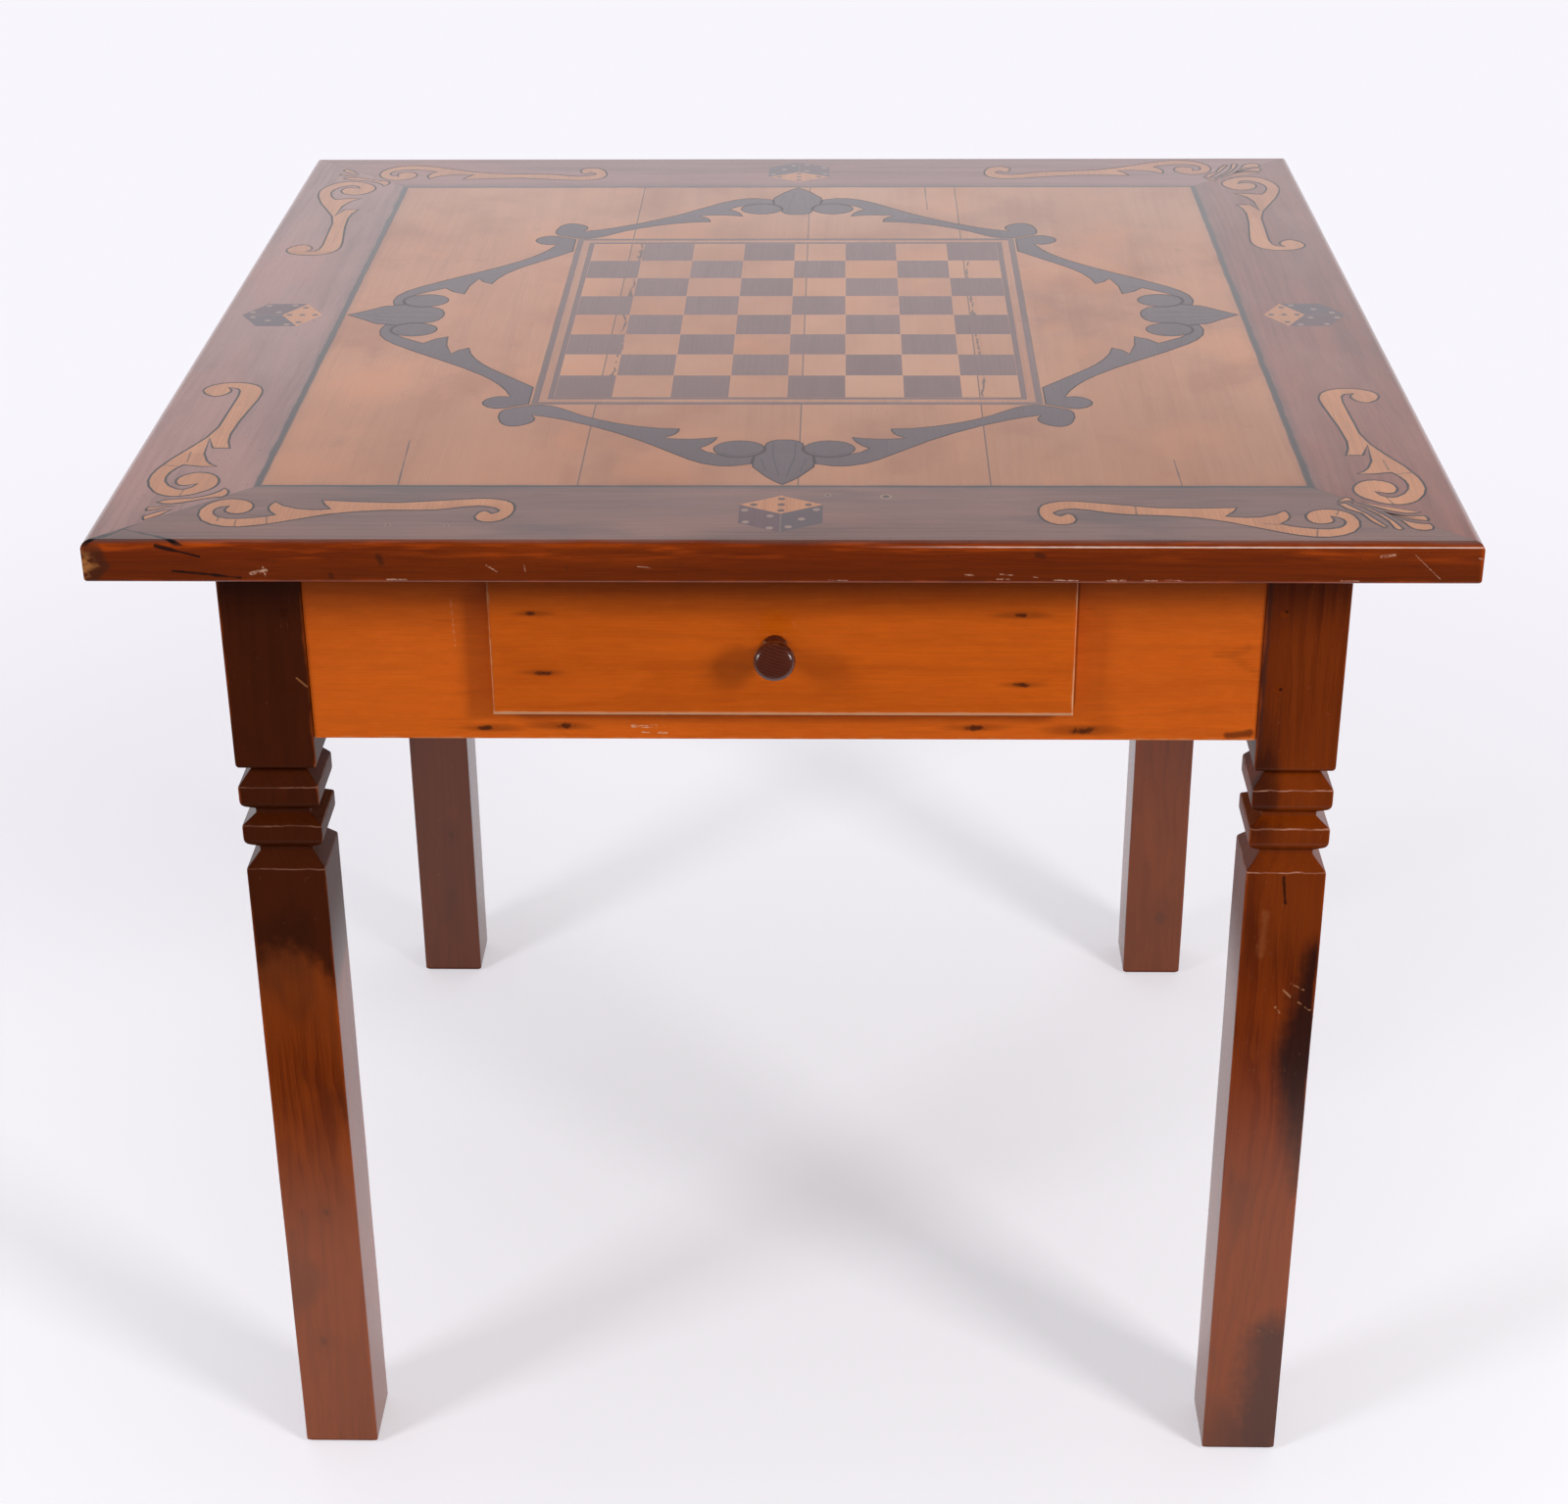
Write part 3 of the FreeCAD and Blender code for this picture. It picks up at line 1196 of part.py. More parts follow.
os.makedirs("parts", exist_ok=True)
for name, thing in nodes.items():
    thing.Shape.exportStep(f"parts/{name}.step")
    box = thing.Shape.BoundBox
    print(
        f"{name}: {len(thing.Shape.Solids)} solid(s), "
        f"{box.XLength:.1f} x {box.YLength:.1f} x {box.ZLength:.1f} mm"
    )
print(len(nodes), "nodes")
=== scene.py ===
"""Chess table with inlaid board: its finishes, worked edges, inlay lines, turned knob, stage and lights."""
import math

import bmesh
import bpy
from bpy.props import BoolProperty, FloatProperty, FloatVectorProperty, PointerProperty
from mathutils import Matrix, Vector, noise


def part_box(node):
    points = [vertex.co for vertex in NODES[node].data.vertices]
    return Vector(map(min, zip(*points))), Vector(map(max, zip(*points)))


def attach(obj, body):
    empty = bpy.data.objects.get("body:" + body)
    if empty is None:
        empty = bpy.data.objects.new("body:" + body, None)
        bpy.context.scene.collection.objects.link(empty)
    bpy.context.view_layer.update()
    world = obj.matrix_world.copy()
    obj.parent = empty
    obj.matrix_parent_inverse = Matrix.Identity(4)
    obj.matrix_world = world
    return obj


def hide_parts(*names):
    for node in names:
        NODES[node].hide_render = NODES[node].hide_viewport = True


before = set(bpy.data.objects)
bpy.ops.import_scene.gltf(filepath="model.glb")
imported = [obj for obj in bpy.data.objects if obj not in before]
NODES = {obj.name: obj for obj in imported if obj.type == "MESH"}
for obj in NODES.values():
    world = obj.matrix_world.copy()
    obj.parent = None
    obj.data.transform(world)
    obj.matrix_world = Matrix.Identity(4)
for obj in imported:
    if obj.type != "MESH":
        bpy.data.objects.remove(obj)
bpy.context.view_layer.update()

MM = 0.001

bl_info = {
    "name": "Chess table with inlaid board",
    "version": (1, 0, 0),
    "blender": (4, 5, 0),
    "location": "3D View > Sidebar > Chess Table",
    "description": "Dresses the packed chess table with varnished woods, inlay lines and a stage",
    "category": "Object",
}

# Where things are on the table, in millimetres.
FIELD_X, FIELD_Y = 332.0, 342.0
SQUARE_X, SQUARE_Y = 40.0, 44.6
BOARD_X, BOARD_Y = 160.0, 178.4
PLANK_SEAMS = (-130.0, 10.0, 132.0)
LEG_X, LEG_Y = 334.5, 338.5
BOARD_CRACKS = (-122.0, 135.0)
KNOB_X, KNOB_Z = -4.4, 666.0
BAND_X, BAND_Y = (size * 1000.0 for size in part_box("outer_dark_band")[1][:2])
DRAWER_FACE = -379.8


def tone_prop(name, text, colour):
    """A colour that the user may change."""
    return FloatVectorProperty(name=name, description=text, default=colour, min=0.0, max=1.0, subtype="COLOR")


class ChessTableTopLook(bpy.types.PropertyGroup):
    """Colours and lines of the inlaid top."""
    field: tone_prop("Field", "Varnished pale planks and light squares", (0.490, 0.200, 0.090))
    border: tone_prop("Border", "Dark boards round the field, on their upper face", (0.165, 0.066, 0.048))
    edge: tone_prop("Edge", "Dark boards on their rounded outer edge", (0.205, 0.029, 0.0006))
    dark_inlay: tone_prop("Dark inlay", "Dark squares, arms, leaves and bands", (0.175, 0.075, 0.066))
    pale_inlay: tone_prop("Pale inlay", "Scrolls, fans and the light faces of the dice", (0.52, 0.200, 0.072))
    line: tone_prop("Line", "Dyed line round the pale inlays", (0.032, 0.022, 0.022))
    line_width: FloatProperty(name="Line width", description="Width of the dyed line round a pale inlay",
                              default=0.0016, min=0.0003, max=0.003, unit="LENGTH")
    line_sink: FloatProperty(name="Line depth", description="How deep the dyed line is scraped",
                             default=0.00005, min=0.0, max=0.001, unit="LENGTH")


class ChessTableBaseLook(bpy.types.PropertyGroup):
    """Colours and edges of the under-frame and the drawer."""
    post: tone_prop("Posts", "Reddish dark varnish on the legs", (0.195, 0.030, 0.0012))
    post_dark: tone_prop("Smoke", "Dark heartwood and smoke patches on the legs", (0.030, 0.007, 0.003))
    apron: tone_prop("Aprons", "Orange varnished pine", (0.62, 0.112, 0.0062))
    bare: tone_prop("Bare wood", "Unvarnished wood inside the table", (0.52, 0.33, 0.17))
    knob: tone_prop("Knob", "Glossy dark red-brown varnish", (0.078, 0.0150, 0.0066))
    arris: FloatProperty(name="Arris", description="How far a sharp edge is rubbed down",
                         default=0.0012, min=0.0002, max=0.003, unit="LENGTH")
    under_ring: FloatProperty(name="Ring underside", description="Rounding of the rings' lower edges",
                              default=0.0042, min=0.0005, max=0.006, unit="LENGTH")
    worn_posts: BoolProperty(name="Uneven posts", description="Give the hand-planed legs their slight waves",
                             default=True)


class ChessTableStageLook(bpy.types.PropertyGroup):
    """Floor, background and lamps."""
    floor: tone_prop("Floor", "Pale seamless floor", (0.93, 0.915, 0.96))
    sky: FloatProperty(name="Sky", description="Plain light from all round", default=0.32, min=0.0, max=2.0)
    lamp: FloatProperty(name="Lamps", description="Share of full lamp power", default=1.0, min=0.0, max=4.0,
                        subtype="FACTOR")


# Heights on the posts: the rings' crests, their undersides, and where the waves of planing end.
RING_CRESTS = (0.4931, 0.5259, 0.5549)
RING_UNDERSIDES = (0.5126, 0.5410, 0.5687)
WAVES_END = 0.586
WAVE_STEP, WAVE_DEPTH = 0.02, 0.0004
# Faces of an inlay above this height belong to its upper side.
INLAY_TOP = 0.7598


# ---------------------------------------------------------------- finishes

class Tone:
    """One value in a finish. Sums that are written with it add their own Math nodes."""

    def __init__(self, finish, socket):
        self.finish = finish
        self.socket = socket

    def maths(self, operation, *values):
        return self.finish.node("ShaderNodeMath", {"operation": operation}, values)

    def __add__(self, other):
        return self.maths("ADD", self, other)

    def __sub__(self, other):
        return self.maths("SUBTRACT", self, other)

    def __rsub__(self, other):
        return self.maths("SUBTRACT", other, self)

    def __mul__(self, other):
        return self.maths("MULTIPLY", self, other)

    def __truediv__(self, other):
        return self.maths("DIVIDE", self, other)

    def __rtruediv__(self, other):
        return self.maths("DIVIDE", other, self)

    def __abs__(self):
        return self.maths("ABSOLUTE", self)

    def __neg__(self):
        return self.maths("MULTIPLY", self, -1.0)

    __radd__ = __add__
    __rmul__ = __mul__

    def least(self, other):
        return self.maths("MINIMUM", self, other)

    def most(self, other):
        return self.maths("MAXIMUM", self, other)

    def rest(self):
        return self.maths("FRACT", self)

    def whole(self):
        return self.maths("FLOOR", self)

    def root(self):
        return self.maths("SQRT", self)

    def rise(self, low, high):
        """0 below low, 1 above high, smooth between."""
        return self.between(low, high, 0.0, 1.0)

    def fall(self, low, high):
        """1 below low, 0 above high, smooth between."""
        return self.between(low, high, 1.0, 0.0)

    def between(self, low, high, first, last):
        """First below low, last above high, smooth between."""
        return self.finish.node("ShaderNodeMapRange", {"interpolation_type": "SMOOTHSTEP"},
                                (self, low, high, first, last))


class Finish:
    """A material in the making."""

    def __init__(self, name, holder=None):
        self.material = holder or bpy.data.materials.new(name)
        self.material.use_nodes = True
        self.tree = self.material.node_tree
        self.tree.nodes.clear()

    def node(self, kind, settings=None, values=(), out=0):
        """Adds a node: its settings first, then the value or link of each socket."""
        made = self.tree.nodes.new(kind)
        for key, value in (settings or {}).items():
            setattr(made, key, value)
        pairs = values.items() if isinstance(values, dict) else enumerate(values)
        for key, value in pairs:
            socket = made.inputs[key]
            if isinstance(value, Tone):
                self.tree.links.new(value.socket, socket)
            elif isinstance(value, (tuple, list)) and socket.type == "RGBA":
                socket.default_value = tuple(value)[:3] + (1.0,)
            else:
                socket.default_value = value
        return Tone(self, made.outputs[out]) if made.outputs else None

    def here(self):
        """The three parts of the surface point in millimetres. The point itself is kept for clouds."""
        spot = self.node("ShaderNodeTexCoord", out="Object")
        self.spot = self.node("ShaderNodeVectorMath", {"operation": "SCALE"}, {0: spot, "Scale": 1000.0})
        return self.parts(self.spot)

    def facing(self):
        """The three parts of the surface's own direction."""
        return self.parts(self.node("ShaderNodeTexCoord", out="Normal"))

    def parts(self, vector):
        """A vector's parts along x, y and z."""
        cut = self.node("ShaderNodeSeparateXYZ", None, (vector,))
        return [self.output_of(cut, name) for name in "XYZ"]

    def output_of(self, made, name):
        """Another output of a node that is already there."""
        return Tone(self, made.socket.node.outputs[name])

    def rays(self):
        """Whether a ray comes from the camera, off a glossy surface or through a clear one."""
        path = self.node("ShaderNodeLightPath")
        return [self.output_of(path, f"Is {kind} Ray") for kind in ("Camera", "Glossy", "Transmission")]

    def join(self, *parts):
        return self.node("ShaderNodeCombineXYZ", None, parts)

    def clouds(self, size, shift=0.0, detail=2.0, rough=0.5):
        """Noise whose lumps are as long as size says, in millimetres along each axis."""
        size = size if isinstance(size, (tuple, list)) else (size,) * 3
        moved = self.node("ShaderNodeVectorMath", {"operation": "MULTIPLY_ADD"},
                          (self.spot, tuple(1.0 / s for s in size), (shift, shift * 1.7, shift * 0.6)))
        return self.node("ShaderNodeTexNoise", None,
                         {"Vector": moved, "Scale": 1.0, "Detail": detail, "Roughness": rough})

    def mix(self, share, one, two):
        """The first colour, with a share of the second laid over it."""
        return self.node("ShaderNodeMix", {"data_type": "RGBA"}, {0: share, 6: one, 7: two}, out=2)

    def distance(self, run, across, at, squeeze=1.0):
        """How far the point is from a spot in the face, shortened along the run."""
        one = (run - at[0]) * squeeze
        two = across - at[1]
        return (one * one + two * two).root()

    def stroke(self, u, v, start, end):
        """How far the point is from a straight stroke."""
        du, dv = end[0] - start[0], end[1] - start[1]
        length = math.hypot(du, dv)
        du, dv = du / length, dv / length
        pu, pv = u - start[0], v - start[1]
        along = (pu * du + pv * dv).most(0.0).least(length)
        qu, qv = pu - along * du, pv - along * dv
        return (qu * qu + qv * qv).root()


def tint(colour, factor):
    """A colour made lighter or darker, by one number or by one for each of its parts."""
    factors = factor if isinstance(factor, tuple) else (factor,) * 3
    return tuple(min(1.0, c * f) for c, f in zip(colour, factors))


class Wood(Finish):
    """Varnished or bare wood, cut from a log that runs along one axis."""

    def __init__(self, name, run="y", heart=(0.0, -60.0), seed=1.0, ring=4.5, sway=9.0, knots=()):
        super().__init__(name)
        self.x, self.y, self.z = self.here()
        self.face = {"x": self.x, "y": self.y, "z": self.z}
        self.along = [axis == run for axis in "xyz"]
        self.run = self.face[run]
        one, two = (self.face[axis] for axis in "xyz" if axis != run)
        drift = self.clouds(self.grain_size(420, 70), seed)
        ripple = self.clouds(self.grain_size(90, 14), seed + 5.3)
        off_one = one - heart[0] + (drift - 0.5) * sway * 2.2
        off_two = two - heart[1]
        depth = (off_one * off_one + off_two * off_two).root() + (ripple - 0.5) * sway * 0.35
        depth = depth + self.run * 0.004
        self.core = self.halo = None
        for at, radius, plane in knots:
            gap = self.distance(self.run, self.face[plane], at, 0.34)
            depth = depth + (gap / (radius * 2.6)).fall(0.0, 1.8) * radius * 1.3
            edge = gap + (self.clouds(4.0, seed + 1.9) - 0.5) * radius * 1.6
            core = (edge / radius).fall(0.30, 1.15)
            self.core = core if self.core is None else self.core.most(core)
            smudge = self.distance(self.run, self.face[plane], at, 0.15) + (ripple - 0.5) * radius * 2.2
            halo = (smudge / radius).fall(0.5, 1.7)
            self.halo = halo if self.halo is None else self.halo.most(halo)
        turn = (depth / ring).rest()
        self.late = turn.rise(0.35, 0.92) * turn.fall(0.93, 1.0)
        self.fibre = self.clouds(self.grain_size(38, 0.75), seed + 2.1, 3.0, 0.6)
        self.pores = self.clouds(self.grain_size(7, 0.32), seed + 8.4, 1.0)
        self.broad = self.clouds(self.grain_size(230, 85), seed + 3.7)
        self.streaks = self.clouds(self.grain_size(290, 13), seed + 15.2, 3.0, 0.6)

    def grain_size(self, along, across):
        """Lump size with its length along the run of the wood."""
        return tuple(along if runs else across for runs in self.along)

    def stain(self, share, colour):
        """Lays a colour over the tone that the wood has so far."""
        self.tone = self.mix(share, self.tone, colour)

    def strokes(self, plane, marks, stray, share, colour):
        """Lays straight strokes. Each has two ends, and how far from it the colour is full and is gone."""
        u, v = (self.face[axis] for axis in plane)
        for start, end, full, gone in marks:
            self.stain((self.stroke(u, v, start, end) + stray).fall(full, gone) * share, colour)

    def figure(self, colour, rings=0.30, fibres=0.22, cloud=0.20, streaks=0.30, warm=(1.0, 0.80, 0.66)):
        """Starts the wood's tone, before wear and knots: rings, streaks, fibres and slow changes."""
        brown = tint(colour, warm)
        self.tone = tuple(colour)
        self.stain(self.late * rings * 1.6 * self.broad.rise(0.30, 0.66), tint(brown, 0.52))
        self.stain(self.streaks.rise(0.47, 0.72) * streaks, tint(brown, 0.46))
        self.stain(self.streaks.fall(0.28, 0.50) * streaks * 0.8, tint(colour, 1.34))
        self.stain(self.fibre.rise(0.40, 0.72) * fibres, tint(colour, 0.52))
        self.stain(self.fibre.fall(0.28, 0.5) * fibres * 0.9, tint(colour, 1.30))
        self.stain(self.pores.rise(0.60, 0.76) * fibres * 0.8, tint(colour, 0.42))
        self.stain(self.broad.rise(0.42, 0.75) * cloud, tint(brown, 0.72))
        self.stain(self.broad.fall(0.25, 0.5) * cloud, tint(colour, 1.22))

    def knotted(self, eye, streak):
        """Adds each knot: a dark eye, and a brown streak along the grain on both sides of it."""
        if self.core is not None:
            self.stain(self.halo * 0.55, streak)
            self.stain(self.core * 0.85, eye)

    def grain_height(self):
        """Relief of the open grain."""
        return self.fibre * 0.5 + self.late * 0.25 + self.pores * 0.35

    def edge_gap(self, low, high):
        """How far the point is from the nearest edge of a box, in millimetres."""
        gaps = []
        for value, a, b in zip((self.x, self.y, self.z), low, high):
            middle, half = (a + b) * 500.0, (b - a) * 500.0
            gaps.append(half - abs(value - middle))
        one, two, three = gaps
        return one.least(two).most(one.most(two).least(three))

    def by_cell(self, u, v, key):
        """A random number from 0 to 1 for each cell, whose place is counted along u and v."""
        return self.node("ShaderNodeTexWhiteNoise", {"noise_dimensions": "3D"},
                         {"Vector": self.join(u.whole(), v.whole(), key)})

    def varnished(self, rough, height, bump, coat=0.0, coat_rough=0.14, shine=0.12):
        """Closes the finish: one shader in the wood's tone, its constants set on its own sockets."""
        relief = self.node("ShaderNodeBump", None, {"Strength": 1.0, "Distance": bump, "Height": height})
        shader = self.node("ShaderNodeBsdfPrincipled", None,
                           {"Base Color": self.tone, "Roughness": rough, "Coat Weight": coat,
                            "Coat Roughness": coat_rough, "Specular IOR Level": shine, "Normal": relief})
        self.node("ShaderNodeOutputMaterial", None, {"Surface": shader})
        return self.material


# Scrapes and bruises on the front edge of the top: two ends in x and z, and a width.
EDGE_SCUFFS = (
    ((363.0, 751.6), (371.0, 752.6), 1.3), ((383.5, 752.6), (400.0, 736.6), 0.45),
    ((422.0, 750.5), (423.5, 750.0), 0.8), ((112.5, 739.0), (117.5, 739.2), 0.9),
    ((134.0, 739.6), (141.5, 739.0), 0.6), ((154.0, 737.8), (156.5, 737.5), 0.6),
    ((132.0, 736.4), (139.5, 736.2), 0.7), ((167.0, 735.8), (181.0, 735.4), 0.8),
    ((199.0, 735.7), (210.0, 735.4), 1.0), ((221.0, 735.6), (229.0, 735.4), 0.8),
    ((234.0, 735.8), (245.0, 735.5), 0.6), ((340.0, 735.6), (352.0, 735.4), 0.6),
    ((-239.0, 735.6), (-227.5, 735.3), 1.0), ((-322.0, 739.5), (-313.0, 741.5), 1.7),
    ((-314.5, 744.0), (-313.5, 738.0), 0.8), ((-178.0, 745.0), (-172.0, 741.0), 0.7),
    ((-155.0, 745.0), (-154.5, 741.0), 0.5), ((-86.0, 744.3), (-78.0, 743.5), 0.6),
    ((30.0, 735.5), (42.0, 735.3), 0.5),
)
# The other marks hold two ends, and how far from the stroke its colour is full and is gone.
CORNER_CRACKS = (
    ((-404.0, -414.0), (-378.0, -427.0), 0.35, 1.25), ((-380.0, -426.0), (-362.0, -436.0), 0.90, 1.80),
    ((-427.0, -437.0), (-409.0, -423.0), 1.30, 2.20), ((-410.0, -424.0), (-395.0, -404.0), 0.45, 1.35),
)
EDGE_SPLITS = (
    ((-379.0, 757.5), (-353.0, 750.5), 0.35, 1.25), ((-370.0, 741.0), (-350.0, 739.0), 0.25, 1.15),
    ((-350.0, 739.0), (-329.0, 736.5), 0.35, 1.25),
)
EDGE_STAINS = (
    ((-243.5, 751.0), (-242.0, 746.5), 0.4, 2.6), ((-273.5, 738.5), (-273.0, 737.0), 0.4, 2.6),
    ((156.0, 752.5), (160.0, 751.5), 0.4, 2.6),
)
NAIL_PLUGS = (((29.0, -357.5), 1.4), ((65.5, -360.0), 2.4), ((-241.0, -407.5), 1.3), ((-205.0, -408.0), 1.1))
# For each side: seed, middle of the board, lift of its colour, shares of smoke and bloom, width of the line.
BORDER_TONES = {
    "front": (3.1, -388.0, (1.06, 1.20, 1.30), 0.66, 0.12, 2.2),
    "back": (8.7, 388.0, (1.60, 1.72, 2.15), 0.16, 0.25, 2.2),
    "left": (14.2, -378.0, (1.80, 2.20, 2.70), 0.16, 0.25, 3.6),
    "right": (21.9, 378.0, (1.42, 1.10, 0.98), 0.16, 0.25, 3.6),
}


def border_finish(side, look):
    """Dark board of the frame. Its upper face is hazier and its rounded edge is redder."""
    run = "x" if side in ("front", "back") else "y"
    seed, middle, lift, smoky, bloomed, line = BORDER_TONES[side]
    wood = Wood(f"dark frame {side}", run, (middle + 20, 700.0), seed, ring=3.6, sway=12.0)
    wood.figure(look.edge, rings=0.40, fibres=0.62, cloud=0.55, streaks=0.80)
    wood.stain(wood.z.fall(742.0, 755.0) * 0.48, tint(look.edge, 0.45))
    sweep = wood.clouds(wood.grain_size(75, 7.0), seed + 41.0, 3.0, 0.6).rise(0.52, 0.70)
    wood.stain(sweep * wood.z.rise(744.0, 755.0) * 0.70, tint(look.edge, 1.9))
    edge = wood.tone
    colour = tint(look.border, lift)
    wood.figure(colour, rings=0.30, fibres=0.34, cloud=0.40, streaks=0.50)
    warm = wood.clouds(wood.grain_size(210, 60), seed + 21.0, 3.0).rise(0.48, 0.70)
    wood.stain(warm * 0.50, tint(colour, (1.40, 1.22, 1.05)))
    smoke = wood.clouds(wood.grain_size(170, 52), seed + 11.0, 3.0, 0.6).rise(0.50, 0.70)
    wood.stain(smoke * smoky, (0.052, 0.030, 0.028))
    bloom = wood.clouds(wood.grain_size(150, 48), seed + 31.0, 3.0, 0.6).rise(0.42, 0.66)
    wood.stain(bloom * bloomed, (0.285, 0.150, 0.125))
    lip = wood.clouds(wood.grain_size(60, 20), seed + 17.0)
    upper = (wood.z + (lip - 0.5) * 1.6).rise(757.7, 759.2)
    if side == "front":
        upper = upper * (wood.y + (lip - 0.5) * 5.0).rise(-434.6, -429.5)
    wood.tone = wood.mix(upper, edge, wood.tone)
    marks = wood.clouds(2.2, seed + 1.0).rise(0.70, 0.76)
    wood.stain(marks * 0.7, (0.030, 0.014, 0.010))
    if side == "front":
        front_edge_marks(wood)
    seam = abs(abs(wood.x) - abs(wood.y) + 10.0)
    wobble = wood.clouds(24.0, 6.1)
    wood.stain((seam + wobble * 1.2).fall(0.45, 1.35) * 0.8, (0.030, 0.015, 0.012))
    joint = (abs(wood.x) - FIELD_X).most(abs(wood.y) - FIELD_Y)
    # Painted shade: a soft grey band on the upper face beside the joint with the field.
    joint_shade = (joint + wobble * 9.0).fall(4.0, 16.0) * upper
    wood.stain(joint_shade * 0.42, (0.060, 0.046, 0.048))
    inner_line = (joint + (wobble - 0.5) * 3.0).fall(line - 0.8, line + 0.9)
    wood.stain(inner_line * 0.90 * upper, (0.024, 0.018, 0.019))
    gap = wood.edge_gap(*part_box(f"border_{side}"))
    worn = (gap + wobble * 5.0).fall(2.6, 5.6) * wood.z.fall(757.5, 759.0)
    wood.stain(worn * 0.40, tint(look.edge, 2.8))
    if side in ("front", "left"):
        corner = wood.distance(wood.x, wood.y, (-425.0, -435.0))
        chip = corner + abs(wood.z - 744.0) * 0.8 + (wobble - 0.5) * 26.0
        flake = wood.clouds(5.0, 3.0, 3.0).rise(0.38, 0.58)
        wood.stain(chip.fall(15.0, 21.0) * 0.7, (0.045, 0.014, 0.006))
        wood.stain(chip.fall(7.0, 13.0) * flake * 0.80, (0.40, 0.150, 0.040))
    across = (60.0, 1.1, 1.1) if run == "y" else (1.1, 60.0, 1.1)
    scratch = wood.clouds(across, seed + 6.0).rise(0.70, 0.80)
    wood.stain(scratch * 0.22, tint(look.border, 2.4))
    rough = 0.34 + wood.broad * 0.10 + scratch * 0.12
    return wood.varnished(rough, wood.grain_height(), 0.00012, coat=upper * 0.48 + 0.52, shine=0.10)


def front_edge_marks(wood):
    """Nail plugs, cracks, splits, stains and scuffs of the front board, and a painted highlight along its
    lip.
    """
    for at, radius in NAIL_PLUGS:
        plug = wood.distance(wood.x, wood.y, at) / radius
        wood.stain(plug.fall(1.2, 1.9) * 0.55, (0.36, 0.22, 0.15))
        wood.stain(plug.fall(0.7, 1.2), (0.05, 0.024, 0.016))
    tear = wood.clouds(11.0, 4.4, 3.0) * 4.0
    on_face = wood.y.fall(-433.0, -430.0)
    wood.strokes("xy", CORNER_CRACKS, tear - 2.0, wood.z.rise(756.5, 758.0), (0.008, 0.005, 0.006))
    wood.strokes("xz", EDGE_SPLITS, tear * 0.7 - 1.4, on_face * 0.9, (0.008, 0.004, 0.003))
    wood.strokes("xz", EDGE_STAINS, tear * 0.8 - 1.6, on_face * 0.55, (0.020, 0.008, 0.004))
    fine = wood.clouds((2.4, 2.4, 0.8), 12.0)
    scuffs = [(start, end, wide * 0.4, wide) for start, end, wide in EDGE_SCUFFS]
    wood.strokes("xz", scuffs, (fine - 0.5) * 2.0, fine.rise(0.42, 0.56) * on_face * 0.70, (0.62, 0.36, 0.25))
    # Painted highlight: a pale line along the upper arris on the right half of the front board.
    arris_highlight = (abs(wood.z - 757.2) + tear * 0.12).fall(0.42, 0.85) * wood.x.rise(40.0, 170.0)
    wood.stain(arris_highlight * wood.y.fall(-432.5, -431.5) * 0.75, (0.72, 0.54, 0.46))


# For each plank: its shade, and its split at an end if it has one, with the stray and share of that split.
PLANKS = {
    "field_plank_outer_left": ((1.03, 1.0, 0.96), ((-247.5, -262.0), (-244.0, -343.0)), 1.4, 0.8),
    "field_plank_inner_left": ((0.97, 0.96, 0.94), None, 0.0, 0.0),
    "field_plank_inner_right": ((1.0, 1.02, 1.04), ((107.0, 352.0), (107.5, 275.0)), 1.2, 0.7),
    "field_plank_outer_right": ((0.94, 0.93, 0.90), ((252.0, -296.0), (252.6, -343.0)), 1.2, 0.7),
}
PLANK_KNOTS = {"field_plank_inner_right": [((280.0, 31.0), 3.2, "x")]}
SEAM_DARK = (0.045, 0.022, 0.015)
CRACK_DARK = (0.045, 0.024, 0.018)
SPLIT_DARK = (0.050, 0.025, 0.018)


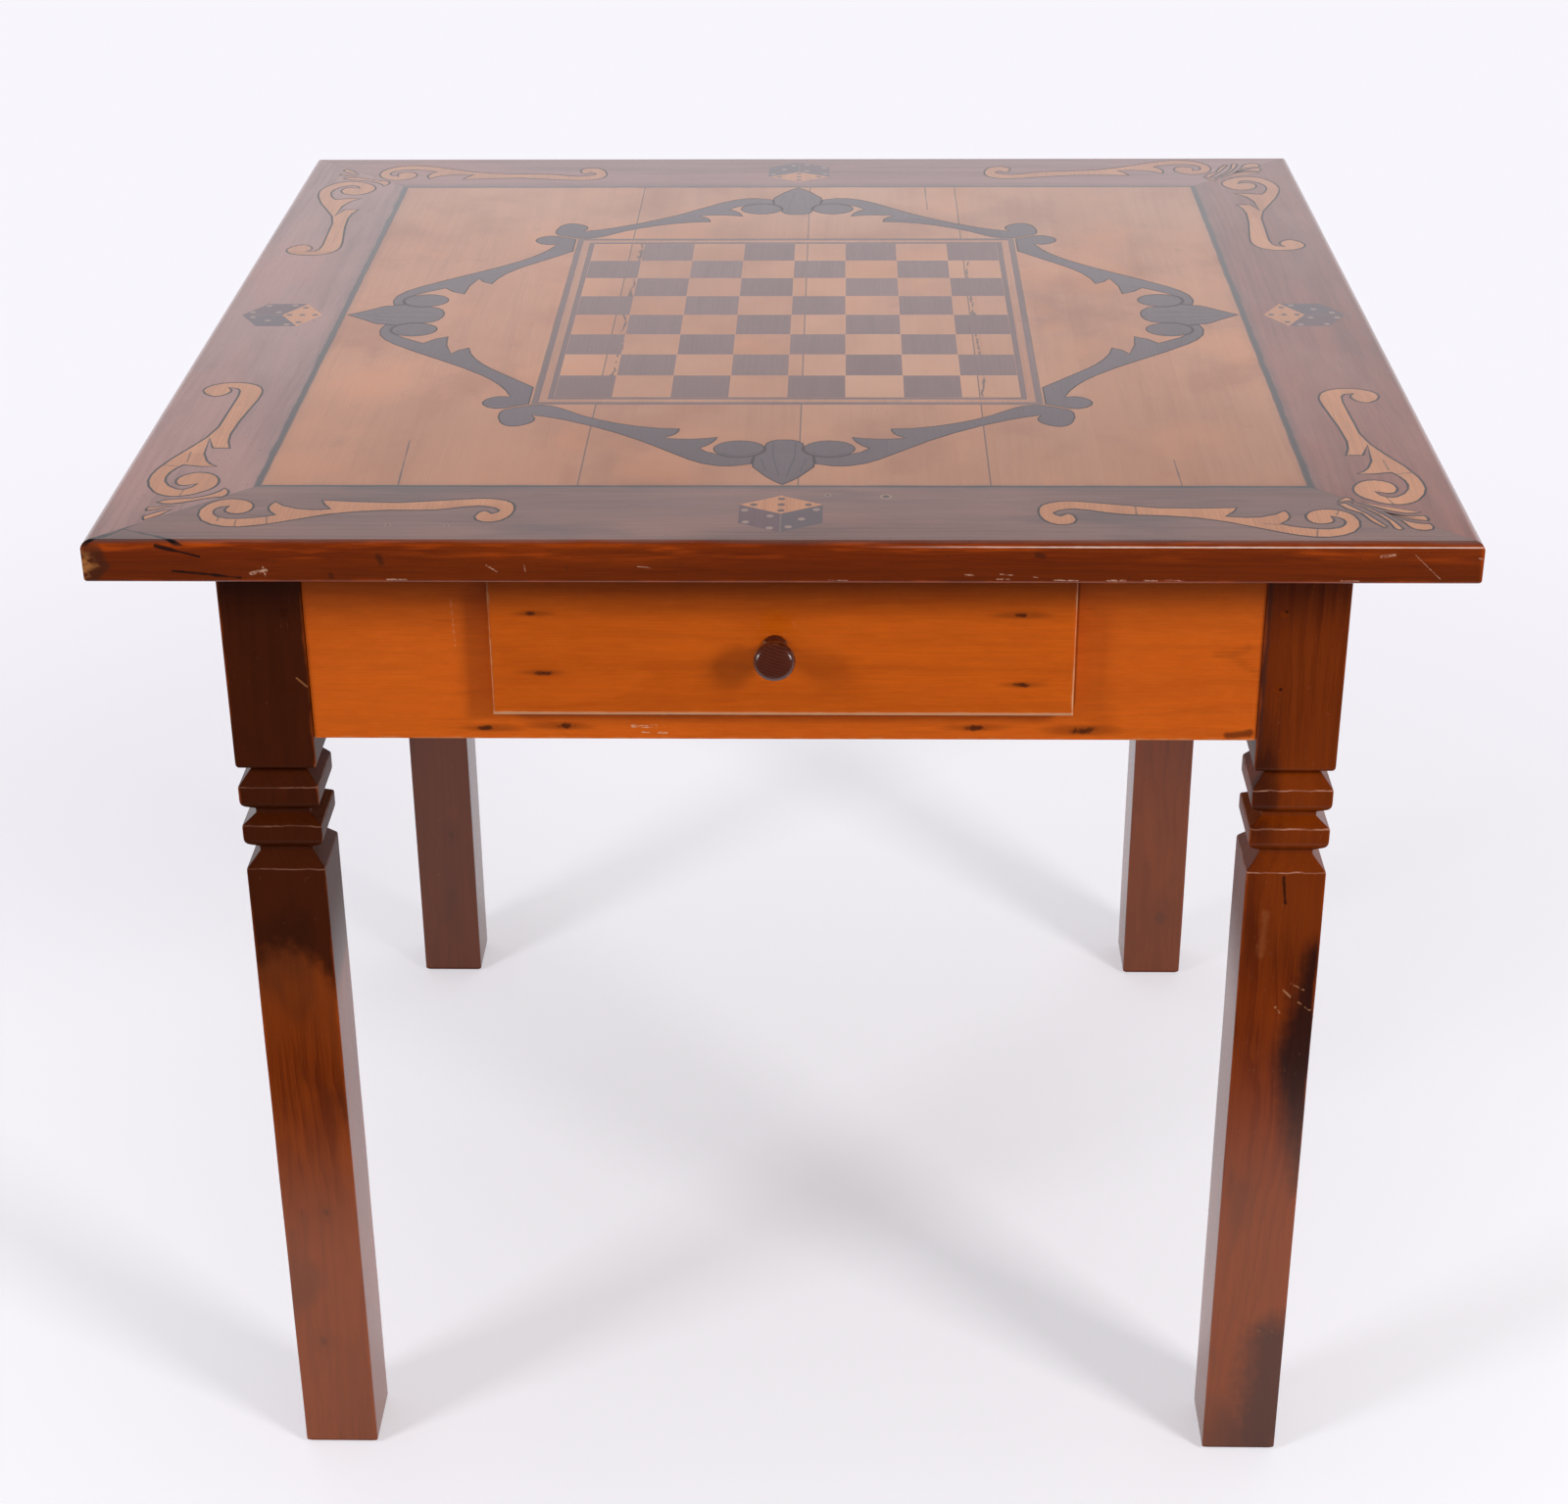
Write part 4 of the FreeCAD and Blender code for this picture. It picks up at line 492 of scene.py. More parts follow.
def field_finish(node, seed, look):
    """Pale plank: one tone for each board, hairline seams, the warm patches of old varnish, and painted shade
    towards the front and painted light towards the back.
    """
    shade, split, stray, split_share = PLANKS[node]
    low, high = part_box(node)
    middle = (low.x + high.x) * 500.0
    wood = Wood(node.replace("_", " "), "y", (middle + 15.0 * math.sin(seed * 5.0), 690.0), seed, ring=5.2,
                sway=10.0, knots=PLANK_KNOTS.get(node, ()))
    colour = tint(look.field, shade)
    wood.figure(colour, rings=0.10, fibres=0.15, cloud=0.34, streaks=0.16)
    wood.knotted((0.10, 0.035, 0.018), (0.22, 0.080, 0.035))
    board = (wood.x / 66.0 + seed).whole()
    step = wood.node("ShaderNodeTexWhiteNoise", {"noise_dimensions": "1D"}, {"W": board})
    wood.stain(step * 0.22, tint(colour, (0.80, 0.66, 0.56)))
    patch = wood.clouds((105.0, 130.0, 105.0), 44.0, 4.0, 0.6).rise(0.46, 0.68)
    wood.stain(patch * 0.62, tint(colour, (0.66, 0.56, 0.56)))
    smudge = wood.clouds((26.0, 40.0, 26.0), seed + 71.0, 3.0, 0.6).rise(0.60, 0.76)
    wood.stain(smudge * 0.35, tint(colour, (0.62, 0.50, 0.48)))
    glow = wood.clouds((90.0, 130.0, 90.0), 61.0, 3.0).rise(0.48, 0.68)
    wood.stain(glow * 0.55, tint(colour, (1.22, 1.10, 0.86)))
    square = wood.by_cell(wood.x / SQUARE_X, wood.y / SQUARE_Y, 5.0)
    on_board = (abs(wood.x) - BOARD_X).most(abs(wood.y) - BOARD_Y).fall(-0.2, 0.2)
    wood.stain(on_board * (square * 0.34 + 0.20), tint(colour, (1.12, 1.32, 1.60)))
    # Painted shade and light: the field is painted darker towards the front and lighter towards the back.
    far = wood.y + (patch - 0.5) * 40.0
    wood.stain(far.fall(-250.0, -150.0) * 0.30, tint(colour, (0.55, 0.50, 0.44)))
    wood.stain(far.rise(150.0, 260.0) * 0.16, (0.56, 0.36, 0.26))
    wobble = wood.clouds(30.0, 6.1)
    for seam in PLANK_SEAMS:
        gap = abs(wood.x - seam + (wobble - 0.5) * 0.4)
        wood.stain(gap.fall(0.15, 0.80) * 0.78, SEAM_DARK)
    wave = (wood.clouds((30.0, 22.0, 30.0), 5.0, 3.0) - 0.5) * 9.0
    broken = wood.clouds((9.0, 13.0, 9.0), 8.0)
    for crack_x in BOARD_CRACKS:
        gap = abs(wood.x - crack_x + wave)
        line = gap.fall(0.35, 1.05).most((gap - broken.rise(0.56, 0.72) * 2.2).fall(0.1, 0.8))
        wood.stain(line * broken.rise(0.36, 0.50) * on_board * 0.82, CRACK_DARK)
    if split:
        wood.strokes("xy", [(*split, 0.25, 0.8)], (wobble - 0.5) * stray, split_share, SPLIT_DARK)
    band = (abs(wood.x) - BAND_X).most(abs(wood.y) - BAND_Y) + (wobble - 0.5) * 0.8
    wood.stain(abs(band - 0.3).fall(0.35, 0.85) * 0.75, CRACK_DARK)
    rim = -((abs(wood.x) - FIELD_X).most(abs(wood.y) - FIELD_Y))
    wood.stain((rim + wobble * 6.0).fall(2.0, 11.0) * 0.22, (0.12, 0.060, 0.042))
    wood.stain((rim + wobble * 1.6).fall(1.2, 2.2) * 0.85, (0.034, 0.022, 0.022))
    dirt = wood.clouds(1.6, seed + 9.0).rise(0.715, 0.76)
    wood.stain(dirt * 0.6, (0.09, 0.04, 0.025))
    rough = 0.36 + wood.broad * 0.08 + step * 0.04
    return wood.varnished(rough, wood.grain_height(), 0.00010, coat=1.0 - patch * 0.12, shine=0.12)


def inlay_finish(name, colour, seed, by_square=False, marks=()):
    """Thin sawn wood let into the top: fine grain, its own tone for each piece, and short knife lines."""
    wood = Wood(name, "y", (40.0, 640.0), seed, ring=2.6, sway=6.0)
    wood.figure(colour, rings=0.16, fibres=0.34, cloud=0.40, streaks=0.30)
    if by_square:
        step = wood.by_cell(wood.x / SQUARE_X, wood.y / SQUARE_Y, 3.0)
    else:
        step = wood.by_cell(wood.x / 97.0 + 0.3, wood.y / 89.0 + 0.2, 7.0)
    wood.stain(step * 0.38, tint(colour, (0.66, 0.60, 0.62)))
    chips = wood.clouds(2.6, seed + 7.0).rise(0.69, 0.75)
    wood.stain(chips * 0.55, tint(colour, 0.35 if colour[0] > 0.2 else 2.2))
    waver = (wood.clouds(7.0, 2.0) - 0.5) * 1.1
    wood.strokes("xy", [(*mark, 0.25, 0.85) for mark in marks], waver, 0.75, tint(colour, 0.16))
    rough = 0.35 + step * 0.06 + wood.broad * 0.05
    return wood.varnished(rough, wood.grain_height(), 0.00010, coat=1.0, shine=0.12)


def line_finish(name, seed, dark, pale):
    """A dyed line, or the scraped outline of the dark scrollwork."""
    wood = Wood(name, "y", (0.0, 600.0), seed, ring=3.0)
    wood.tone = wood.mix(wood.fibre * 0.5, dark, pale)
    return wood.varnished(0.5 + wood.pores * 0.1, wood.pores, 0.00008, coat=0.8)


SMOKE_DARK = (0.034, 0.0064, 0.0014)
KNOT_DARK = (0.016, 0.005, 0.002)
# For each leg: seed, how far its smoke reaches, share of warm patches and of the pale ring crests (wear and
# painted highlight), how much darker it is, and its knots with the place in x and z and the size of each.
LEGS = {
    "front_left": (2.3, 0.56, 0.45, 0.24, 0.0, (((-341.0, 96.0), 3.4), ((-330.0, 212.0), 2.6))),
    "front_right": (6.9, 0.60, 0.22, 0.62, 0.0, (((346.0, 112.0), 2.8),)),
    "back_right": (11.4, 0.60, 0.45, 0.24, 0.16, (((340.0, 62.0), 5.6), ((330.0, 380.0), 2.6))),
    "back_left": (17.7, 0.55, 0.45, 0.24, 0.48, (((-328.0, 150.0), 3.0), ((-338.0, 330.0), 2.6))),
}
LEG_SCUFF = (((-315.0, 635.5), (-309.0, 629.5), 0.8, 1.7),)
LEG_SPLIT = (((333.0, 490.0), (335.5, 470.0), 0.4, 1.4),)
LEG_FLAME = (((323.0, 462.0), (322.0, 430.0), 0.5, 4.5),)
LEG_NICKS = (
    ((339.0, 402.0), (345.0, 396.0), 0.9), ((344.0, 407.0), (353.0, 402.0), 0.7),
    ((350.0, 392.0), (358.0, 386.0), 0.9), ((342.0, 111.0), (346.0, 110.0), 1.1),
    ((350.0, 112.0), (355.0, 109.0), 0.9), ((335.0, 388.0), (338.0, 383.0), 0.8),
)


def post_finish(corner, look):
    """Square leg: reddish varnish, dark smoke patches, rubbed arrises, ring crests with wear and a painted
    highlight, and painted light on its paler foot.
    """
    seed, reach, warmth, crest_highlight_share, darker, knots = LEGS[corner]
    side_x = -1.0 if "left" in corner else 1.0
    side_y = -1.0 if "front" in corner else 1.0
    heart = ((LEG_X - 40.0) * side_x, LEG_Y * side_y + 30.0)
    wood = Wood(f"post {corner}", "z", heart, seed, ring=5.6, sway=34.0)
    wood.figure(look.post, rings=0.62, fibres=0.50, cloud=0.42, streaks=0.46)
    warm = wood.clouds((45.0, 45.0, 120.0), seed + 21.0, 3.0).rise(0.46, 0.68)
    wood.stain(warm * warmth, tint(look.post, (1.60, 1.75, 1.8)))
    dark = tuple(look.post_dark)
    blotch = wood.clouds((60.0, 60.0, 150.0), seed + 4.0, 3.0, 0.55)
    wood.stain(blotch.rise(reach, reach + 0.15) * 0.70, dark)
    curl = wood.clouds(7.0, seed + 1.5, 3.0)
    for (x, z), size in knots:
        eye = wood.distance(wood.z, wood.x, (z, x), 0.7) + (curl - 0.5) * size * 1.6
        wood.stain(eye.fall(size * 1.2, size * 4.2) * 0.45, tint(look.post, 0.45))
        wood.stain(eye.fall(size * 0.4, size * 1.2) * 0.85, KNOT_DARK)
    if corner == "front_left":
        smoked_arch(wood, blotch, curl)
    if corner == "front_right":
        burn = scorched(wood, blotch, curl, seed, dark)
    gap = wood.edge_gap(*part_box(f"leg_{corner}"))
    nicks = wood.clouds((9.0, 9.0, 26.0), seed + 3.0, 3.0)
    worn = (gap + nicks * 6.0).fall(2.7, 5.0)
    wood.stain(worn * 0.34, tint(look.post, 2.4))
    ringed = wood.z.rise(486.0, 489.0) * wood.z.fall(571.0, 574.0)
    rub = (gap + nicks * 4.0).fall(1.9, 3.4) * ringed
    wood.stain(rub * 0.4, (0.42, 0.16, 0.07))
    # Pale line on each ring crest: partly wear and partly a painted highlight.
    rubbed = wood.clouds(13.0, seed + 51.0).rise(0.44, 0.60) * 0.6 + 0.4
    for crest in RING_CRESTS:
        line = abs(wood.z - crest * 1000.0 + (nicks - 0.5) * 2.4).fall(0.15, 0.65)
        wood.stain(line * rubbed * crest_highlight_share, (0.50, 0.25, 0.17))
    # Painted light: the leg is painted paler and warmer towards its foot.
    wood.stain(wood.z.fall(170.0, 340.0) * 0.45, (0.34, 0.075, 0.010))
    if corner == "front_right":
        wood.stain(burn * 0.74, (0.034, 0.010, 0.005))
    if darker:
        wood.stain(darker, dark)
    dents = wood.clouds((3.0, 3.0, 6.0), seed + 12.0).rise(0.70, 0.76)
    wood.stain(dents * 0.09, (0.30, 0.14, 0.07))
    rough = 0.33 + wood.broad * 0.10 + worn * 0.12
    facing = wood.facing()
    flank = abs(facing[0]).rise(0.5, 0.85)
    coat = (0.90 - flank * (wood.z.rise(365.0, 470.0) * 0.56 + 0.24)) * facing[2].rise(-0.40, 0.0)
    return wood.varnished(rough, wood.grain_height() - dents * 0.8, 0.00016, coat=coat, shine=0.02)


def smoked_arch(wood, blotch, curl):
    """Dark upper part of the front left leg, with the redder wood under its arched end."""
    height = wood.z + (wood.x + 341.0) * (wood.x + 341.0) * 0.031
    shade = (height + (curl - 0.5) * 22.0 + (blotch - 0.5) * 26.0).rise(421.0, 449.0)
    wood.stain(shade * 0.88, SMOKE_DARK)
    wood.stain(height.rise(340.0, 415.0) * (1.0 - shade) * 0.35, (0.23, 0.050, 0.008))
    wood.strokes("xz", LEG_SCUFF, blotch * 1.2, 0.6, (0.36, 0.14, 0.05))


def scorched(wood, blotch, curl, seed, dark):
    """Scorch, split, flame and nicks of the front right leg, and painted shade down its inner edge beside the
    apron. Gives back the burn at its foot.
    """
    bend, waist, root = (372.0, 425.0), (358.0, 345.0), (374.0, 245.0)
    scorch = wood.stroke(wood.x, wood.z, bend, waist).least(wood.stroke(wood.x, wood.z, waist, root))
    scorch = scorch + (blotch - 0.5) * 22.0 + (curl - 0.5) * 9.0
    wood.stain(scorch.fall(11.0, 29.0) * 0.92, (0.020, 0.0045, 0.0026))
    burn = wood.stroke(wood.x, wood.z, (360.0, 98.0), (347.0, 12.0))
    burn = burn + (blotch - 0.5) * 30.0 + (curl - 0.5) * 14.0
    burn = burn.fall(9.0, 38.0).most(wood.z.fall(10.0, 66.0) * wood.x.rise(285.0, 345.0) * 0.85)
    wood.strokes("xz", LEG_SPLIT, (curl - 0.5) * 2.0, 0.85, KNOT_DARK)
    wood.strokes("xz", LEG_FLAME, (curl - 0.5) * 7.0, 0.26, (0.42, 0.13, 0.040))
    rough_patch = wood.clouds(3.0, seed + 61.0).rise(0.44, 0.58)
    nicks = [(start, end, wide * 0.4, wide * 1.2) for start, end, wide in LEG_NICKS]
    wood.strokes("xz", nicks, (curl - 0.5) * 2.4, rough_patch * 0.6, (0.46, 0.21, 0.10))
    # Painted shade: a dark band down the leg's inner edge next to the apron.
    shade_by_apron = (wood.x + (curl - 0.5) * 3.0).fall(309.5, 312.5) * wood.z.rise(575.0, 592.0)
    wood.stain(shade_by_apron * 0.55, (0.022, 0.014, 0.014))
    wood.stain(wood.z.rise(396.0, 430.0) * 0.20, dark)
    return burn


def peg_finish(look):
    """Ends of the pegs in the tone of their legs. Those of the front right leg have a dark eye."""
    wood = Wood("pegs", "y", (0.0, 600.0), 31.0, ring=1.6, sway=3.0)
    wood.figure(tint(look.post, 0.9), rings=0.30, fibres=0.30, cloud=0.20)
    front_left = wood.x.fall(-1.0, 1.0) * wood.y.fall(-1.0, 1.0)
    wood.stain(front_left * 0.88, SMOKE_DARK)
    for height in (684.0, 629.0):
        eye = wood.distance(wood.x, wood.z, (320.8, height)).fall(0.8, 1.5) * wood.y.fall(-1.0, 1.0)
        wood.stain(eye * 0.85, (0.012, 0.004, 0.003))
    return wood.varnished(0.4 + wood.pores * 0.1, wood.grain_height(), 0.00012, coat=0.3, shine=0.02)


FRONT_SCUFFS = (((-98.0, 600.8), (-83.0, 600.2), 1.2, 2.6), ((-92.0, 596.2), (-76.0, 595.6), 0.72, 1.56))
FRONT_SMUDGES = (((278.0, 652.0), (297.0, 656.5), 0.0, 5.2), ((289.0, 651.0), (304.0, 640.0), 0.0, 6.5))
FRONT_SCRATCH = (((-212.0, 690.0), (-210.8, 655.0), 0.5, 1.1),)
FRONT_CHAR = (((289.0, 594.5), (303.0, 596.5), 0.8, 3.4),)


def apron_finish(name, node, run, heart, seed, look, knots=(), ring=6.0):
    """Orange varnished pine with its knots, painted shade under the top and round the drawer front, and a
    pale line round the drawer front that is partly wear and partly painted highlight.
    """
    wood = Wood(name, run, heart, seed, ring=ring, sway=16.0, knots=knots)
    colour = tint(look.apron, (0.91, 0.89, 0.62) if node == "drawer_front" else 1.0)
    wood.figure(colour, rings=0.12, fibres=0.20, cloud=0.24, streaks=0.17, warm=(0.96, 0.80, 0.7))
    fleck = wood.clouds(wood.grain_size(15, 5.0), seed + 33.0, 3.0, 0.65)
    wood.stain(fleck.rise(0.50, 0.70) * 0.20, tint(colour, (0.72, 0.58, 0.5)))
    wood.stain(fleck.fall(0.30, 0.48) * 0.20, tint(colour, (1.16, 1.34, 1.9)))
    resin = wood.clouds(wood.grain_size(46, 5.0), seed + 4.0).rise(0.62, 0.76)
    wood.stain(resin * 0.22, tint(colour, (0.62, 0.46, 0.4)))
    wood.knotted((0.045, 0.011, 0.003), (0.22, 0.040, 0.003))
    low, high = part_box(node)
    gap = wood.edge_gap(low, high)
    nicks = wood.clouds(14.0, seed + 3.0, 3.0)
    worn = (gap + nicks * 5.0).fall(2.4, 4.4)
    wood.stain(worn * 0.45, (0.62, 0.30, 0.13))
    if node == "drawer_front":
        # Pale line round the drawer front: partly wear and partly a painted highlight on its rounded edges;
        # shadowed leaves it off at the upper right, where that edge is in shade.
        edge = (gap + nicks * 1.8).fall(1.3, 2.3) * wood.z.fall(715.0, 720.0)
        shadowed = wood.x.rise(190.0, 200.0) * wood.z.rise(622.0, 640.0) * 0.75
        pale = (wood.z.fall(622.0, 640.0) * 0.30 + 0.48) * (1.0 - shadowed)
        wood.stain(edge * pale, (0.68, 0.34, 0.15))
        worn_and_highlit_foot = (wood.z - low.z * 1000.0 + nicks * 1.2).fall(3.0, 4.0)
        wood.stain(worn_and_highlit_foot * 0.60, (0.66, 0.37, 0.18))
    # Painted shade: darker towards the top of the board, under the overhang of the top.
    darkening = wood.z.rise(680.0, 718.0) * (wood.broad * 0.5 + 0.75)
    wood.stain(darkening * 0.56, (0.115, 0.016, 0.0006))
    if node == "apron_front":
        first, last = (corner * 1000.0 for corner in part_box("drawer_front"))
        # Painted shade: a dark line in the gap beside each end of the drawer front, and a dark band on the
        # apron under its lower edge.
        beside = abs(wood.x - last.x).fall(1.0, 3.0) * (wood.z - first.z).rise(-2.0, 2.0)
        below = (first.z - wood.z + nicks * 2.0).fall(1.5, 6.5) * (abs(wood.x) - last.x).fall(-1.0, 1.0)
        wood.stain(beside.most(below * 0.80) * 0.75, (0.070, 0.011, 0.0008))
        speck = wood.clouds((5.0, 5.0, 0.9), 9.0).rise(0.46, 0.60)
        wood.strokes("xz", FRONT_SCUFFS, nicks * 1.2, speck * 0.8, (0.66, 0.46, 0.28))
        wood.strokes("xz", FRONT_SMUDGES, (nicks - 0.5) * 9.0, wood.fibre.rise(0.30, 0.66) * 0.42,
                     (0.20, 0.036, 0.002))
        wood.strokes("xz", FRONT_SCRATCH, nicks * 0.8, speck * 0.45, (0.62, 0.32, 0.16))
        wood.strokes("xz", FRONT_CHAR, (nicks - 0.5) * 5.0, 0.7, (0.060, 0.012, 0.003))
    rough = 0.34 + wood.broad * 0.08 + worn * 0.15
    up = wood.facing()[2].rise(0.2, 0.7)
    return wood.varnished(rough, wood.grain_height(), 0.00012, coat=0.9 - up * 0.7, shine=0.02)


def bare_finish(name, run, seed, look, shade=1.0):
    """Unvarnished wood inside, with saw marks across it."""
    wood = Wood(name, run, (30.0, -40.0), seed, ring=5.0, sway=12.0)
    wood.figure(tint(look.bare, shade), rings=0.34, fibres=0.26, cloud=0.30)
    saw = wood.clouds(wood.grain_size(2.6, 60), seed + 9.0, 1.0)
    wood.stain(saw.rise(0.5, 0.8) * 0.18, tint(look.bare, 0.5))
    darkening = wood.clouds(55.0, seed + 2.0, 3.0).rise(0.5, 0.8)
    wood.stain(darkening * 0.4, (0.16, 0.085, 0.045))
    return wood.varnished(0.62 + saw * 0.12, wood.grain_height() + saw * 0.6, 0.00025, shine=0.3)


def knob_finish(look):
    """Turned knob in glossy dark varnish, rubbed through a little on its rim."""
    wood = Wood("glossy knob", "y", (KNOB_X + 6.0, KNOB_Z - 30.0), 4.2, ring=2.2, sway=3.0)
    wood.figure(look.knob, rings=0.30, fibres=0.30, cloud=0.2)
    ring = wood.distance(wood.x, wood.z, (KNOB_X, KNOB_Z))
    rub = wood.clouds(5.0, 2.0, 3.0)
    wood.stain(ring.rise(11.6, 13.2) * rub.rise(0.42, 0.66) * 0.5, (0.24, 0.060, 0.024))
    slant = (wood.x * 0.15 + wood.z * 0.45).rest().rise(0.55, 0.95) * wood.y.fall(-405.0, -403.0)
    wood.stain(slant * 0.50, (0.150, 0.036, 0.016))
    return wood.varnished(0.26 + rub * 0.10, wood.fibre, 0.00005, coat=1.0, coat_rough=0.22, shine=0.03)


# ---------------------------------------------------------------- making shapes

def solid_of(node):
    """A node's solids as one editable mesh, with flat faces made whole."""
    body = bmesh.new()
    body.from_mesh(NODES[node].data)
    bmesh.ops.remove_doubles(body, verts=body.verts, dist=2e-6)
    bmesh.ops.dissolve_limit(body, angle_limit=math.radians(0.6), verts=body.verts, edges=body.edges)
    return body


def place_piece(body, name, materials, node, rides_on, smooth=35.0):
    """Turns an edited mesh into a piece that stands for a node."""
    mesh = bpy.data.meshes.new(name)
    bmesh.ops.recalc_face_normals(body, faces=body.faces)
    body.to_mesh(mesh)
    body.free()
    for material in materials:
        mesh.materials.append(material)
    mesh.shade_smooth()
    mesh.set_sharp_from_angle(angle=math.radians(smooth))
    piece = bpy.data.objects.new(name, mesh)
    bpy.context.scene.collection.objects.link(piece)
    even = piece.modifiers.new("even shading", "WEIGHTED_NORMAL")
    even.keep_sharp = True
    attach(piece, rides_on)
    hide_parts(node)
    return piece


def sharp_edges(body, least, pick):
    """The picked edges that stand proud and are at least as sharp as least says, in degrees."""
    chosen = []
    for edge in body.edges:
        if len(edge.link_faces) != 2 or not edge.is_convex:
            continue
        if math.degrees(edge.calc_face_angle(0.0)) >= least and pick(edge.verts[0].co, edge.verts[1].co):
            chosen.append(edge)
    return chosen


def ease(body, edges, width, cuts=2):
    """Rubs the chosen edges down."""
    if edges:
        bmesh.ops.bevel(body, geom=edges, offset=width, offset_type="OFFSET", segments=cuts, profile=0.6,
                        affect="EDGES", clamp_overlap=True)


def rimmed(node, width, sink):
    """An inlay with a dyed, slightly scraped line round its upper face."""
    body = solid_of(node)
    body.faces.ensure_lookup_table()
    top = [f for f in body.faces if f.normal.z > 0.99 and f.calc_center_median().z > INLAY_TOP]
    if not top:
        raise RuntimeError(f"{node} has no upper face")
    rim = bmesh.ops.inset_region(body, faces=top, thickness=width, depth=0.0, use_boundary=True,
                                 use_even_offset=True)["faces"]
    for face in rim:
        face.material_index = 1
    top_verts = {v for f in top for v in f.verts}
    outer = {v for f in rim for v in f.verts} - top_verts
    homes = {}
    for vert in top_verts:
        partners = [e.other_vert(vert) for e in vert.link_edges if e.other_vert(vert) in outer]
        if not partners:
            continue
        home = min(partners, key=lambda other: (other.co - vert.co).length)
        spot = home.co * 90.0
        shift = vert.co - home.co
        shift += Vector((noise.noise(spot), noise.noise(spot + Vector((7.0, 3.0, 1.0))), 0.0)) * width * 0.3
        shift.length = min(shift.length, width * 1.45)
        vert.co = home.co + shift
        homes[vert] = home
    for _ in range(6):
        for face in rim:
            face.normal_update()
            if face.normal.z < 0.5:
                for vert in face.verts:
                    if vert in homes:
                        vert.co = vert.co.lerp(homes[vert].co, 0.4)
    for vert in outer:
        vert.co.z -= sink
    return body


def planed(body, middle):
    """Gives a leg, up to the groove over its rings, the slight waves of hand planing."""
    for step in range(1, 24):
        bmesh.ops.bisect_plane(body, geom=body.verts[:] + body.edges[:] + body.faces[:],
                               plane_co=(0, 0, WAVE_STEP * step), plane_no=(0, 0, 1))
    for vert in body.verts:
        if vert.co.z <= WAVES_END:
            way = Vector((middle.x - vert.co.x, middle.y - vert.co.y, 0.0)).normalized()
            wave = noise.noise(Vector((middle.x * 9.0, middle.y * 7.0, vert.co.z * 11.0)))
            vert.co += way * (WAVE_DEPTH * (wave + 1.0))


def give(node, material):
    """Gives a node that keeps its shape a finish."""
    piece = NODES[node]
    if not piece.material_slots:
        piece.data.materials.append(material)
    for slot in piece.material_slots:
        slot.material = material


# ---------------------------------------------------------------- operators

class ChessTableField(bpy.types.Operator):
    """Finish the four pale planks and the light band"""
    bl_idname = "chess_table.field"
    bl_label = "Field planks"

    def execute(self, context):
        look = context.scene.chess_table_top
        for count, node in enumerate(PLANKS):
            give(node, field_finish(node, 3.0 + 4.3 * count, look))
        give("light_band", inlay_finish("light band", tint(look.field, 0.95), 5.5))
        return {"FINISHED"}


class ChessTableBorders(bpy.types.Operator):
    """Finish the four dark boards of the frame and the splines in their mitres"""
    bl_idname = "chess_table.borders"
    bl_label = "Dark frame"

    def execute(self, context):
        look = context.scene.chess_table_top
        for side in ("front", "back", "left", "right"):
            give(f"border_{side}", border_finish(side, look))
        give("mitre_splines", bare_finish("mitre splines", "x", 9.0, context.scene.chess_table_base))
        return {"FINISHED"}


# Knife lines of one quarter's leaves and discs, then the same in the other three quarters.
QUARTER_VEINS = (
    ((7.5, 264.0), (7.0, 292.0)), ((7.0, 292.0), (2.5, 324.0)), ((14.5, 296.0), (11.0, 316.0)),
    ((268.0, 6.5), (292.0, 6.0)), ((292.0, 6.0), (316.0, 2.4)), ((293.0, 14.0), (308.0, 11.0)),
    ((18.5, 283.0), (24.0, 288.0)), ((24.0, 288.0), (33.0, 289.0)), ((33.0, 289.0), (40.5, 284.0)),
    ((269.0, 44.5), (276.0, 46.5)), ((276.0, 46.5), (284.0, 43.0)), ((284.0, 43.0), (288.5, 36.0)),
)
LEAF_VEINS = tuple(
    tuple((a * x, b * y) for x, y in vein) for vein in QUARTER_VEINS for a in (1, -1) for b in (1, -1)
)


class ChessTableDarkInlay(bpy.types.Operator):
    """Finish the dark squares, bands, leaves, arms and discs"""
    bl_idname = "chess_table.dark_inlay"
    bl_label = "Dark inlay"

    def execute(self, context):
        look = context.scene.chess_table_top
        colour = tuple(look.dark_inlay)
        give("dark_squares", inlay_finish("dark squares", colour, 7.7, by_square=True))
        scroll = inlay_finish("dark scrollwork", tint(colour, (0.46, 0.55, 0.76)), 12.3, marks=LEAF_VEINS)
        cut = line_finish("dark outline", 5.0, tint(colour, 0.16), tint(colour, 0.36))
        for node in ("diamond_arms", "diamond_fleurons", "diamond_discs"):
            body = rimmed(node, look.line_width * 0.7, look.line_sink)
            place_piece(body, node + "_cut", (scroll, cut), node, "table")
        bands = inlay_finish("dark bands", tint(colour, 0.85), 15.1)
        for node in ("inner_dark_band", "outer_dark_band"):
            give(node, bands)
        return {"FINISHED"}


# Where the scrolls are pieced together.
SCROLL_LINES = (
    ((220.0, -376.0), (219.5, -388.5)), ((327.5, -411.5), (325.5, -424.0)),
    ((296.0, -403.4), (305.0, -404.8)), ((345.0, -381.0), (342.5, -389.5)),
    ((390.5, -320.8), (402.0, -317.6)), ((378.0, -360.5), (380.4, -372.2)),
    ((386.6, -296.0), (387.2, -313.0)), ((-336.4, -399.0), (-335.0, -411.5)),
    ((-318.6, -392.0), (-315.6, -408.5)), ((-348.6, -386.0), (-347.6, -401.0)),
    ((-288.7, -372.0), (-286.0, -384.0)), ((-388.2, -283.5), (-387.0, -301.0)),
    ((-379.0, -349.0), (-379.6, -360.5)), ((-391.0, -309.0), (-402.0, -306.4)),
)


